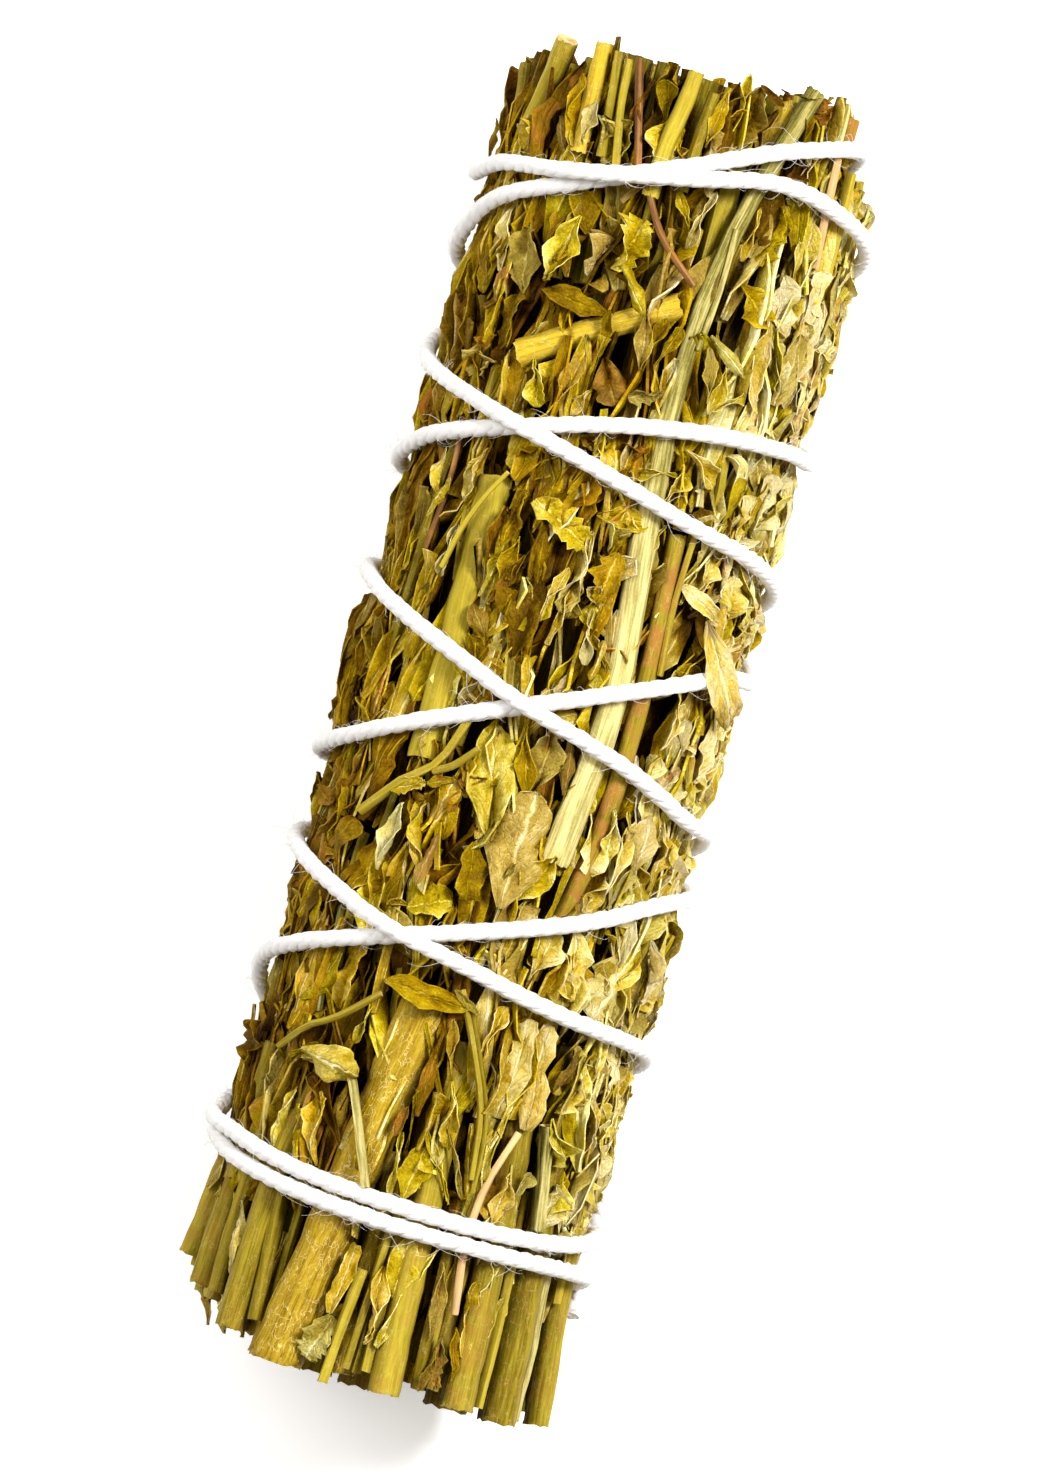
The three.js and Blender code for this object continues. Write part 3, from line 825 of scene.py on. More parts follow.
def stem_material(name, dark, light, crackle=0.0, stripes=0.45, mottle=0.25):
    """Bark between two tones. Its stripes run along it, and pale cracks cross it where crackle is not 0."""
    material, tree, surface = new_material(name, 0.55)
    tone, withered, seed = tinted(tree)
    grain = node(tree, "Attribute", attribute_name="grain")["Vector"]
    marks = node(tree, "Group", {"Grain": grain}, node_tree=GRAIN)
    patches = node(tree, "Group", {"Place": object_place(tree), "Seed": seed}, node_tree=PATCHES)
    share = swayed(tree, tone, marks["Streaks"], stripes)
    share = swayed(tree, share, patches["Fine"], mottle)
    colour = mixed(tree, node(tree, "Clamp", {0: share})[0], (*dark, 1), (*light, 1))
    colour = mixed(tree, times(tree, withered, patches["Broad"]), colour, (0.36, 0.15, 0.03, 1))
    if crackle:
        colour = mixed(tree, times(tree, marks["Crackle"], crackle), colour, (0.86, 0.70, 0.30, 1))
    wire(tree, shadowed(tree, colour, share), surface["Base Color"])
    bumped(tree, surface, marks["Height"], 0.5, 0.12)
    return material


def cut_end_material():
    material, tree, surface = new_material("Cut pith", 0.8)
    place = object_place(tree)
    colour = ramp(tree, noise(tree, place, 2.2, 4), [(0.3, (0.38, 0.22, 0.05)), (0.7, (0.84, 0.66, 0.30))])
    aged = times(tree, redrawn(tree, tinted(tree)[2], 5), 0.65)
    colour = mixed(tree, aged, colour, (0.34, 0.24, 0.04, 1))
    wire(tree, colour, surface["Base Color"])
    bumped(tree, surface, noise(tree, place, 7, 3), 0.7, 0.2)
    return material


def cotton_material():
    material, tree, surface = new_material("White cotton", 0.9)
    place = object_place(tree)
    fibres = noise(tree, place, 9, 4, 1.2)
    colour = ramp(tree, fibres, [(0.25, (0.76, 0.735, 0.71)), (0.6, (0.86, 0.845, 0.825))])
    wire(tree, colour, surface["Base Color"])
    bumped(tree, surface, fibres, 0.5, 0.12)
    surface["Sheen Weight"].default_value = 0.25
    return material


PALER = np.array([0.03, 0.027, 0.0075])  # the haze of cream that lies over the pale leaves
LEAF = leaf_material("Dried leaf", LEAF_TONES)
PALE_TONES = [(place, 0.94 * np.array(colour) + PALER) for place, colour in LEAF_TONES]
PALE_LEAF = leaf_material("Pale dried leaf", PALE_TONES)
PALE_SPRAYS = (3, 4, 7, 10, 13, 14)  # the leaf sprays that have the pale finish
OLIVE_STEM = stem_material("Olive stem", (0.14, 0.098, 0.002), (0.50, 0.385, 0.03), crackle=0.16)
WOODY_STEM = stem_material("Woody stem", (0.20, 0.118, 0.002), (0.58, 0.40, 0.026), 0.55, 0.65, 0.7)
PALE_STEM = stem_material("Pale stem", (0.21, 0.18, 0.03), (0.78, 0.66, 0.26), 0.1, 0.8, 0.4)
TWIG = stem_material("Brown twig", (0.22, 0.10, 0.03), (0.80, 0.50, 0.22))
CUT_PITH = cut_end_material()
COTTON = cotton_material()
print("Finishes made:", len(bpy.data.materials))

# %% [markdown]
# ## The string
# Cotton string is three plies twisted round each other, with loose fibres standing off it. A plain tube
# would look like plastic, and a picture of a twist would vanish at the outline, so the plies are really
# there: each is a curve that circles the string's route, given its thickness by a round bevel and then made
# a mesh.

# %% Plies along a route
PLY_RADIUS = 0.54
PLY_OFFSET = 0.20  # from the string's middle to a ply's
PLY_STEP = 0.55  # between the points of a ply
LAY_LENGTH = 4.3  # the string's length in one full twist of its plies


def resampled(line, step):
    """Points at even steps along a line, smoothly between its own."""
    reach = lengths_along(line)
    at = np.linspace(0, reach[-1], int(reach[-1] / step) + 1)
    return smooth_line(reach, line, at), at


def ways_at(line):
    """Three unit vectors at each point of a line: along it, sideways and outwards."""
    forward = unit(np.gradient(line, axis=0))
    side = unit(np.cross(forward, outward_of(line)))
    return forward, side, np.cross(side, forward)


def tube_piece(name, lines, radius, material, resolution=1):
    """One mesh of round tubes along several lines of points in millimetres."""
    curve = bpy.data.curves.new(name, "CURVE")
    curve.dimensions = "3D"
    curve.bevel_depth, curve.bevel_resolution, curve.use_fill_caps = radius * MM, resolution, True
    for line, taper in lines:
        spline = curve.splines.new("POLY")
        spline.points.add(len(line) - 1)
        spline.points.foreach_set("co", np.column_stack([line * MM, np.ones(len(line))]).ravel())
        spline.points.foreach_set("radius", taper)
    piece = bpy.data.objects.new(name, curve)
    bpy.context.collection.objects.link(piece)
    pick(piece)
    bpy.ops.object.convert(target="MESH")
    piece = bpy.context.object
    bpy.ops.object.shade_smooth()
    co = points_of(piece.data)
    co[:, 2] = np.maximum(co[:, 2], LOWEST * MM)
    piece.data.vertices.foreach_set("co", co.ravel())
    piece.data.materials.append(material)
    return piece


def plies(line, start=0.0):
    """The three plies of a stretch of string: for each, its line and its thickness along it as a share."""
    line, at = resampled(line, PLY_STEP)
    _, side, up = ways_at(line)
    lines = []
    for ply in range(3):
        turn = 2 * np.pi * (at / LAY_LENGTH + ply / 3) + start
        offset = side * np.cos(turn)[:, None] + up * np.sin(turn)[:, None]
        lines.append((line + PLY_OFFSET * offset, np.ones(len(line))))
    return lines


# %% The knot and the loose ends
KNOT_SIZE = 0.62


def knot_lines():
    """An overhand knot: a three-leaved loop of string, flattened against the bundle, with two loose ends."""
    turn = np.linspace(0.4, 2 * np.pi + 0.1, 60)
    across = KNOT_SIZE * (np.sin(turn) + 2 * np.sin(2 * turn))
    up = KNOT_SIZE * (np.cos(turn) - 2 * np.cos(2 * turn))
    out = -KNOT_SIZE * np.sin(3 * turn) + 0.75
    angle = KNOT_ANGLE + np.degrees(across / STRING_RING)
    loop = around(angle, STRING_RING + out, KNOT_ALONG + up)
    ends = []
    for aside, ahead in ((-16, 4.8), (-21, -5.4)):
        share = np.linspace(0, 1, 12)
        rise = 0.9 * np.sin(np.pi * share) + 0.15
        place = KNOT_ANGLE + aside * share, STRING_RING + rise, KNOT_ALONG + ahead * share**1.4
        ends.append(around(*place))
    return [loop, *ends]


string_lines = plies(string_line)
for i, line in enumerate(knot_lines()):
    string_lines += plies(line, start=i)
string_piece = tube_piece("cotton_string_plies", string_lines, PLY_RADIUS, COTTON)
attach(string_piece, "root")
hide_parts("cotton_string")
print("String plies:", len(string_piece.data.polygons), "faces")

# %% [markdown]
# ## Loose fibres
# The halo of fine fibres is what tells cotton from nylon. Hair particles would be lost when the model is
# exported, so each fibre is a thin tapering tube of its own, bowed away from the string.

# %% Fibres off the string
def string_fibres(count, seed):
    rng = np.random.default_rng(seed)
    line, _ = resampled(string_line, PLY_STEP)
    forward, side, up = ways_at(line)
    lines = []
    for i in rng.integers(3, len(line) - 3, count):
        turn = rng.uniform(-0.4, np.pi + 0.4)
        out = side[i] * np.cos(turn) + up[i] * np.sin(turn)
        length, bow = rng.uniform(0.6, 2.1), rng.uniform(0.15, 0.75)
        along = forward[i] * rng.choice([-1, 1]) + rng.normal(0, 0.35, 3)
        share = np.linspace(0, 1, 5)[:, None]
        path = line[i] + out * (STRING_RADIUS - 0.08) + along * length * share
        path = path + out * (bow * np.sin(np.pi * 0.8 * share)) * length * 0.6
        path += rng.normal(0, 0.05, (5, 3)) * share
        path[:, 2] = np.maximum(path[:, 2], 0.05)
        lines.append((path, np.linspace(1, 0.35, 5)))
    return lines


fibres = tube_piece("cotton_fibres", string_fibres(1700, 5), 0.015, COTTON, 0)
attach(fibres, "root")
print("Fibres:", len(fibres.data.polygons), "faces")

# %% [markdown]
# ## The stems in place
# Every stem of the frame gets its detailed copy along the same line.

# %% Stems that stand for the frame's own
def changing(value, along, stretch):
    """One value all along, or a lower and an upper one that change into each other over a stretch."""
    lower, upper = np.broadcast_to(value, 2)
    return lower + (upper - lower) * smooth(along, *stretch)


def dress_stem(name, material, tone, withered=0.2, master=ridged_stem, seed=0.5, wide=1.04,
               flat=1.0, lift=0.0, stretch=(13, 27)):
    middles, radii = stem_line(name)
    angle, reach, along = where(middles)
    middles = around(angle, reach + lift, along)
    radii = radii * changing(wide, along, stretch)
    copy = lay_stem(master, middles, radii, (0, withered, seed), twist=0.5, flat=flat)
    tones = changing(tone, where(points_of(copy.data) / MM)[2], stretch)
    set_vectors(copy.data, "tint", np.column_stack([tones, 0 * tones + withered, 0 * tones + seed]))
    copy.hide_render = False
    copy.name = copy.data.name = name + "_bark"
    copy.data.materials[0], copy.data.materials[1] = material, CUT_PITH
    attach(copy, "root")
    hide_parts(name)


for name in nodes:
    part = name.split("_stem_")[0]
    if part in ("core", "outer") and "_stem_" in name:
        number = int(name[-2:])
        tone, seed = 0.42 + 0.2 * math.sin(number * 1.9), (number * 0.37) % 1
        woody = part == "core" and number % 3 == 0
        finish, slot = (WOODY_STEM, "woody_stem") if woody else (OLIVE_STEM, "olive_stem")
        dress_stem(name, finish, tone, 0.15 + 0.2 * math.sin(number) ** 2, seed=seed)
dress_stem("thick_woody_stem", WOODY_STEM, (0.34, 0.52), 0.1, round_stem, 0.1, 1.22, 0.85,
           stretch=(-42, -24))
dress_stem("broad_olive_stem", OLIVE_STEM, 0.76, 0.05, round_stem, seed=0.7, wide=1.12, flat=0.9)
dress_stem("brown_stem", OLIVE_STEM, 0.35, 0.8, seed=0.3)
dress_stem("long_pale_stem", PALE_STEM, (0.64, 0.2), 0.05, seed=0.9, wide=(1.35, 0.95),
           flat=0.75, lift=0.2)
dress_stem("broken_cross_stem", WOODY_STEM, 0.85, 0.0, seed=0.25, lift=0.5)
dress_stem("thin_tan_twig", TWIG, 0.95, 0.0, master=thin_stem, seed=0.6)
stem_pieces = [piece for piece in bpy.data.objects if piece.name.endswith("_bark")]
print("Stems dressed:", len(stem_pieces))

# %% [markdown]
# ## Leaves and their sprays
# Each leaf goes to the leaf spray of the frame whose middle is nearest, so that the pieces match the
# frame's own. A spray is one joined piece in the end, but every leaf in it has its own points and its own
# bend.

# %% Which spray a leaf belongs to
SPRAYS = [name for name in nodes if name.startswith(("leaf_spray", "under_tuft"))]
spray_places = np.array([where(cad_middle(name)) for name in SPRAYS])
spray_copies = {name: [] for name in SPRAYS}


def nearest_spray(angle, radius, along):
    """The frame's spray that a leaf is joined to. The flat tufts take only the outermost leaves below."""
    arc = np.radians((spray_places[:, 0] - angle + 180) % 360 - 180) * SURFACE
    deep = np.where([name.startswith("under") for name in SPRAYS], 14.0, 0.0)
    low = math.cos(math.radians(angle)) < -0.93 and radius > 14.6
    far = np.hypot(arc, spray_places[:, 2] - along) + (0 if low else deep)
    return SPRAYS[int(np.argmin(far))]


def add_leaf(kind, angle, radius, along, length, width, heading=0, pitch=0, roll=0, tint=(0.5, 0.2, 0.5),
             proud=0, **bend):
    blade = bent_blade(points_of(masters[kind].data), length, width, **bend)
    copy = lay(masters[kind], blade, angle, radius, along, heading, pitch, roll, tint, proud)
    spray_copies[nearest_spray(angle, radius, along)].append(copy)


def leaf_count():
    return sum(len(copies) for copies in spray_copies.values())


# %% [markdown]
# ## The pieces in full view
# The eye goes to the stems and leaves that lie on top, so those are laid one by one, from the tips down to
# the cut ends. A leaf's row says its kind and style, where its middle lies as seen from above (millimetres
# to the right and along), how long and wide it is, which way its tip points, how pale it is and how far it
# is lifted. A stem's row says its finish, radius and tone, the places that it passes and how far it is
# lifted. The loose leaves that fill the rest then keep clear of them.

# %% Room for the pieces in full view
shown = []  # for each: its two ends as angle and place along, half its width, the share of it kept clear
COVERS_STEM, COVERS_LEAF = 14.2, 14.8  # radius past which a loose leaf would cover a stem or a leaf


def show(start, end, half_width, keep=0.42):
    shown.append((*start, *end, half_width, keep))


def is_free(angle, radius, along, heading, length, width):
    """Whether a loose leaf here leaves all that is in full view uncovered. What lies deep does no harm."""
    start_angle, start_along, end_angle, end_along, half, keep = np.array(shown).T
    near_top = radius > np.where(keep > 0.9, COVERS_STEM, COVERS_LEAF)
    turn, degree = math.radians(heading), math.radians(1) * SURFACE
    run, rise = degree * (end_angle - start_angle), end_along - start_along
    for share in (-0.35, 0.0, 0.35):
        aside = degree * ((start_angle - angle + 180) % 360 - 180)
        arc = aside - share * length * math.sin(turn)
        up = start_along - along - share * length * math.cos(turn)
        nearest = np.clip(-(arc * run + up * rise) / np.maximum(run**2 + rise**2, 1e-6), 0, 1)
        distance = np.hypot(arc + nearest * run, up + nearest * rise)
        if (near_top & (distance < keep * half + 0.12 * width)).any():
            return False
    return True


# %% Laying leaves in full view
STYLES = {
    "flat": {"fold": 0.35, "furl": 0.8, "skew": 0.4, "wave": 0.14, "crease": 0.06},
    "folded": {"fold": 0.95, "furl": 0.6, "skew": 0.25, "wave": 0.12, "crease": 0.04},
    "tent": {"fold": -0.75, "furl": -0.5, "skew": 0.3, "wave": 0.12, "crease": 0.04},
    "curled": {"fold": 0.5, "furl": 2.0, "skew": 0.35, "curl": 0.9, "wave": 0.12, "crease": 0.03},
    "crumpled": {"fold": 0.8, "furl": 1.3, "skew": -0.6, "twist": 0.6, "wave": 0.2, "crease": 0.1,
                 "ragged": 0.25},
    "draped": {"fold": 0.4, "furl": -1.1, "skew": 0.8, "wave": 0.16, "crease": 0.1, "ragged": 0.2},
}


def show_leaf(kind, style, x, along, length, width, heading, tone, lift, withered=0.0, proud=0.0, **bend):
    """A leaf in full view. The width is what is seen of it, so a folded or furled one is made wider."""
    seed = (x * 0.137 + along * 0.071) % 1
    radius = SURFACE + lift
    angle = seen(x, radius)
    settings = {"ragged": 0.16, "lean": 0.2, "ripple": 0.03, **STYLES[style], "phase": 40 * seed, **bend}
    width *= 1 + 0.25 * abs(settings["fold"]) + 0.12 * abs(settings["furl"])
    tint = (tone, withered, seed)
    add_leaf(kind, angle, radius, along, length, width, heading, tint=tint, proud=proud, **settings)
    turn, clear = math.radians(heading), 0.38 * length
    reach, rise = math.degrees(clear * math.sin(turn) / SURFACE), clear * math.cos(turn)
    show((angle - reach, along - rise), (angle + reach, along + rise), width / 2)


stalks = []


def add_stalk(middles, radius, tint, twist, material, master=thin_stem):
    copy = lay_stem(master, middles, np.full(len(middles), radius), tint, twist=twist)
    copy.data.materials[0], copy.data.materials[1] = material, CUT_PITH
    stalks.append(copy)


def show_stem(material, radius, tone, places, lift, withered=0.1, master=thin_stem, end_lift=0.0):
    """A stem through places given as (x, along), as seen from above. Its middle lies at one depth, but its
    first end may be lifted out of it."""
    reach = SURFACE + lift - 0.4 * radius
    route = [(seen(x, reach), along) for x, along in places]
    seed = (places[0][0] * 0.31 + places[0][1] * 0.17) % 1
    rise = np.linspace(end_lift, 0, len(route))
    middles = np.array([around(angle, reach + extra, along) for (angle, along), extra in zip(route, rise)])
    add_stalk(middles, radius, (tone, withered, seed), 0.4, material, master)
    for start, end in zip(route, route[1:]):
        show(start, end, radius, 1.0)


TOP_STEMS = ("thick_woody_stem", "broad_olive_stem", "brown_stem", "long_pale_stem", "broken_cross_stem",
             "thin_tan_twig")
for name in TOP_STEMS:
    middles, radii = stem_line(name)
    line = [where(point) for point in middles]
    for start, end, radius in zip(line, line[1:], radii):
        show((start[0], start[2]), (end[0], end[2]), radius, 1.0)
print("Stretches of stem to keep clear:", len(shown))

# %% The tips: cut stems
show_stem(OLIVE_STEM, 0.85, 0.35, [(-13.7, 51.8), (-14.1, 48), (-14.5, 42)], -1.4, 0.1, ridged_stem, 1.0)
show_stem(OLIVE_STEM, 0.95, 0.75, [(-10.8, 54.1), (-11.7, 50), (-13.2, 44)], -1.0, 0.1, ridged_stem, 1.2)
show_stem(WOODY_STEM, 0.75, 1.05, [(-8.7, 54.6), (-8.6, 51), (-8.5, 46)], 0.1, master=ridged_stem)
show_stem(OLIVE_STEM, 0.45, 0.45, [(-7.4, 54.3), (-7.0, 51), (-6.6, 46)], 0.2)
show_stem(OLIVE_STEM, 0.42, 0.7, [(-6.4, 53.9), (-6.2, 50.5), (-5.2, 45)], 0.3)
show_stem(TWIG, 0.34, 0.1, [(-5.7, 54.2), (-4.9, 51), (-3.6, 46)], 0.6, 0.8)
show_stem(OLIVE_STEM, 0.7, 0.85, [(-1.0, 54.2), (-1.2, 52), (-1.8, 48), (-2.0, 44)], 0.5, master=ridged_stem)
show_stem(OLIVE_STEM, 0.5, 0.4, [(0.8, 53.0), (0.6, 50), (0.4, 45)], 0.1)
show_stem(PALE_STEM, 0.4, 0.5, [(11.4, 55.2), (11.5, 52), (11.7, 46)], -0.3)
show_stem(TWIG, 0.42, 0.9, [(11.8, 50.8), (12.0, 47), (12.3, 42)], 0.2)
show_stem(OLIVE_STEM, 0.45, 0.9, [(13.2, 50.0), (13.3, 46), (13.4, 41)], 0.0)
show_stem(OLIVE_STEM, 0.5, 0.85, [(14.0, 49.6), (14.2, 46), (14.4, 42)], -0.3)
show_stem(TWIG, 0.3, 0.05, [(-2.9, 45.5), (-0.3, 41), (3.2, 37.8)], 0.8, 0.7)
show_stem(PALE_STEM, 0.32, 0.3, [(5.4, 43), (5.4, 38), (5.0, 33)], 0.1)

# %% The tips: leaves
show_leaf("broad", "curled", -3.2, 53.2, 4.4, 2.5, 5, 0.6, 0.2)
show_leaf("lance", "folded", -9.6, 49.0, 6.0, 2.0, -8, 0.55, 0.9)
show_leaf("lance", "folded", -8.4, 48.2, 3.6, 1.5, 185, 0.8, 1.0)
show_leaf("broad", "curled", -6.0, 47.3, 4.4, 2.6, 24, 0.45, 1.1, curl=1.5)
show_leaf("ragged", "crumpled", -13.4, 46.6, 3.4, 2.3, 10, 0.7, 0.9)
show_leaf("lance", "tent", -10.6, 46.6, 3.8, 1.5, -28, 0.35, 1.1)
show_leaf("spatula", "curled", -2.9, 51.0, 4.6, 1.9, -12, 0.65, 0.9, curl=1.8)
show_leaf("lance", "folded", -4.5, 50.4, 5.0, 1.5, 6, 0.12, 0.2, 0.5)
show_leaf("broad", "draped", -1.9, 48.6, 4.2, 2.9, 180, 0.78, 0.9)
show_leaf("lance", "folded", 1.7, 51.2, 5.0, 1.3, 8, 0.68, 0.5)
show_leaf("lance", "tent", 2.7, 50.4, 5.0, 1.4, -5, 0.25, 0.2)
show_leaf("broad", "curled", 4.3, 51.8, 5.6, 3.6, 16, 0.6, 0.9, curl=1.3, furl=2.2)
show_leaf("lance", "curled", 5.9, 54.2, 2.9, 0.9, 112, 0.3, 1.1, 0.6)
show_leaf("ragged", "crumpled", 6.9, 55.2, 2.4, 1.3, -14, 0.3, 0.9, 0.7)
show_leaf("lance", "curled", 8.5, 55.9, 2.2, 0.8, -20, 0.35, 1.2)
show_leaf("lance", "curled", 9.3, 56.0, 2.0, 0.8, 38, 0.3, 1.0)
show_leaf("ragged", "crumpled", 10.0, 54.0, 3.2, 2.3, 6, 0.5, 0.5, 0.95)
show_leaf("lance", "folded", 9.3, 53.0, 2.4, 1.1, -12, 0.55, 0.7, 0.9)
show_leaf("ragged", "curled", 9.6, 48.8, 2.6, 1.8, 60, 0.0, 0.3, 0.4)
show_leaf("lance", "tent", -15.9, 45.4, 3.6, 1.0, -24, 0.2, 1.0, proud=0.6)
show_leaf("lance", "folded", 16.6, 41.2, 4.2, 1.3, 155, 0.9, 0.6, proud=1.2)
print("Stems and leaves in full view so far:", len(stalks), leaf_count())

# %% Above the second crossing
show_leaf("lance", "folded", 2.7, 43.0, 5.2, 1.7, 14, 0.75, 0.8)
show_leaf("lance", "folded", 1.0, 43.2, 4.0, 1.1, 150, 0.5, 0.7)
show_leaf("ragged", "crumpled", 8.8, 43.4, 5.4, 2.3, 12, 0.45, 0.6)
show_leaf("lance", "folded", 7.0, 43.0, 4.6, 1.3, 6, 0.62, 0.5)
show_leaf("lance", "folded", -13.1, 37.6, 5.8, 1.7, 172, 0.88, 0.9)
show_leaf("broad", "flat", -10.6, 36.4, 5.6, 3.1, -12, 0.42, 0.7)
show_leaf("broad", "draped", -10.7, 31.4, 5.0, 2.4, 8, 0.18, 0.6)
show_leaf("broad", "folded", -8.0, 38.0, 6.0, 2.7, 196, 0.66, 0.9)
show_leaf("ragged", "crumpled", -2.7, 39.6, 4.8, 3.4, 20, 0.62, 0.9)
show_leaf("lance", "tent", -1.6, 36.4, 5.0, 1.9, 140, 0.55, 0.7)
show_leaf("lance", "draped", -6.1, 34.1, 6.6, 1.7, 96, 0.22, 1.4)
show_leaf("lance", "curled", -2.8, 32.2, 4.0, 1.1, 178, 0.3, 1.3)
show_leaf("lance", "folded", 0.6, 32.6, 5.0, 1.4, -8, 0.5, 0.7)
show_leaf("broad", "folded", 1.5, 32.4, 4.6, 1.6, 10, 0.35, 0.9)
show_leaf("spatula", "curled", 2.6, 32.4, 3.8, 1.3, 20, 0.42, 0.8)
show_leaf("ragged", "crumpled", 1.9, 28.4, 3.0, 1.7, 60, 0.55, 0.7)
show_leaf("broad", "draped", -1.3, 28.6, 4.0, 2.6, 150, 0.3, 0.5, 0.5)
show_leaf("lance", "folded", -4.4, 28.0, 5.8, 1.7, 12, 0.55, 0.9, 0.55)
show_leaf("broad", "folded", -7.3, 27.0, 4.0, 2.2, 158, 0.66, 0.8)
show_leaf("ragged", "crumpled", -12.4, 27.6, 3.8, 2.6, 76, 0.62, 0.8)
show_leaf("lance", "folded", -3.0, 26.6, 3.2, 1.2, 28, 0.72, 0.9)
show_leaf("broad", "flat", 11.4, 38.0, 5.4, 2.9, -16, 0.97, 0.9)
show_leaf("broad", "draped", 8.8, 37.6, 4.2, 3.0, 128, 0.5, 0.8)
show_leaf("lance", "curled", 10.6, 33.0, 8.0, 1.9, 170, 0.82, 1.1, 0.2)
show_leaf("broad", "draped", 12.7, 33.4, 6.2, 2.4, 8, 0.6, 0.7)
show_leaf("lance", "tent", 7.6, 33.0, 4.8, 1.2, 122, 0.66, 1.2)
show_leaf("lance", "folded", 6.5, 31.2, 4.6, 1.3, -14, 0.55, 0.9)
show_leaf("lance", "folded", 7.6, 30.4, 4.6, 1.3, 6, 0.7, 0.8)
show_leaf("broad", "folded", 8.8, 29.4, 3.6, 1.8, 60, 0.75, 0.9)
show_leaf("ragged", "draped", 12.6, 28.8, 3.8, 3.2, 70, 0.97, 0.8)
show_leaf("lance", "folded", 12.9, 36.4, 3.6, 1.1, 10, 0.8, 1.2, 0.6)

# %% The middle: leaves and stalks
show_leaf("ragged", "crumpled", -0.9, 23.6, 2.8, 1.7, -20, 0.75, 1.0, 0.95)
show_leaf("lance", "curled", -3.6, -5.2, 2.8, 0.8, 70, 0.3, 1.2, 1.0)
show_leaf("lance", "curled", -4.4, -5.9, 2.2, 0.7, 130, 0.3, 1.2, 1.0)
show_leaf("broad", "flat", -7.0, 21.6, 4.4, 2.8, 164, 0.66, 0.8)
show_stem(OLIVE_STEM, 0.24, 0.85, [(-7.2, 19.4), (-8.5, 17), (-9.6, 14), (-10.3, 10.8)], 1.0)
show_leaf("lance", "folded", -10.0, 18.6, 4.8, 1.4, 12, 0.72, 0.8)
show_leaf("lance", "folded", -12.9, 17.8, 5.0, 1.4, -16, 0.75, 0.9)
show_leaf("lance", "tent", -12.0, 16.2, 4.0, 1.0, 24, 0.6, 0.9)
show_stem(TWIG, 0.3, 0.15, [(-11.7, 22.6), (-11.5, 18), (-11.9, 12)], 0.0, 0.6)
show_leaf("broad", "folded", -10.5, 12.2, 4.4, 1.7, 186, 0.8, 0.9)
show_leaf("broad", "draped", -5.8, 16.0, 5.0, 2.0, 10, 0.32, 0.4)
show_leaf("lance", "folded", -5.2, 12.6, 4.4, 1.5, 186, 0.4, 0.6)
show_leaf("broad", "flat", -1.6, 19.6, 5.6, 3.6, 24, 0.30, 0.6, 0.35)
show_leaf("ragged", "draped", -2.0, 16.6, 6.0, 2.9, 118, 0.66, 1.0, 0.15)
show_leaf("broad", "folded", 0.3, 13.2, 7.0, 2.7, 186, 0.72, 1.0, 0.2)
show_leaf("broad", "flat", -2.9, 8.6, 6.6, 3.2, 4, 0.10, 0.8)
show_leaf("lance", "tent", -2.8, 13.6, 4.4, 1.4, -6, 0.2, 0.4)
show_leaf("lance", "folded", -1.0, 11.0, 4.8, 1.5, 14, 0.78, 0.9)
show_leaf("lance", "curled", -5.0, 11.2, 4.8, 0.9, 204, 0.2, 0.9, 0.7)
show_leaf("broad", "flat", 3.1, 18.3, 5.0, 1.8, 84, 0.55, 1.0)
show_leaf("lance", "folded", 6.1, 17.4, 3.0, 1.5, 30, 0.72, 0.9)
show_leaf("ragged", "draped", 2.8, 13.4, 4.4, 2.8, 190, 0.45, 0.9, 0.3)
show_leaf("lance", "folded", 2.7, 8.4, 4.6, 1.8, -8, 0.78, 0.9)
show_leaf("lance", "tent", 3.9, 6.8, 3.4, 1.4, 186, 0.66, 0.9)
show_stem(OLIVE_STEM, 0.32, 0.5, [(8.7, 19.5), (8.5, 13), (8.9, 7)], 0.3, 0.3)
show_leaf("lance", "flat", 11.3, 13.2, 6.4, 1.6, 112, 0.9, 1.1)
show_leaf("broad", "folded", 10.9, 15.2, 3.6, 2.4, 20, 0.85, 0.8)
show_leaf("broad", "draped", 13.4, 14.4, 3.8, 2.4, -20, 0.85, 0.8)
show_leaf("broad", "flat", 13.9, 7.88, 10.6, 2.6, 140, 0.90, 2.4, 0.35,
          proud=3.6, roll=35, fold=0.05, furl=0.2, wave=0.04, curl=-0.7)
show_leaf("lance", "folded", 4.6, 22.3, 4.6, 1.7, 78, 0.6, 0.9)
show_leaf("broad", "folded", 6.6, 21.6, 3.4, 1.8, 30, 0.72, 0.7)
show_leaf("broad", "folded", 8.0, 23.8, 4.2, 2.1, 124, 0.72, 0.8)
show_leaf("broad", "crumpled", 2.2, 24.0, 3.4, 2.4, 60, 0.15, 0.5, 0.5)
show_leaf("ragged", "crumpled", -1.2, 23.8, 3.0, 2.4, 100, 0.5, 0.6, 1.0)
show_leaf("lance", "folded", -12.2, 24.0, 3.4, 1.4, 10, 0.5, 0.7, 0.8)

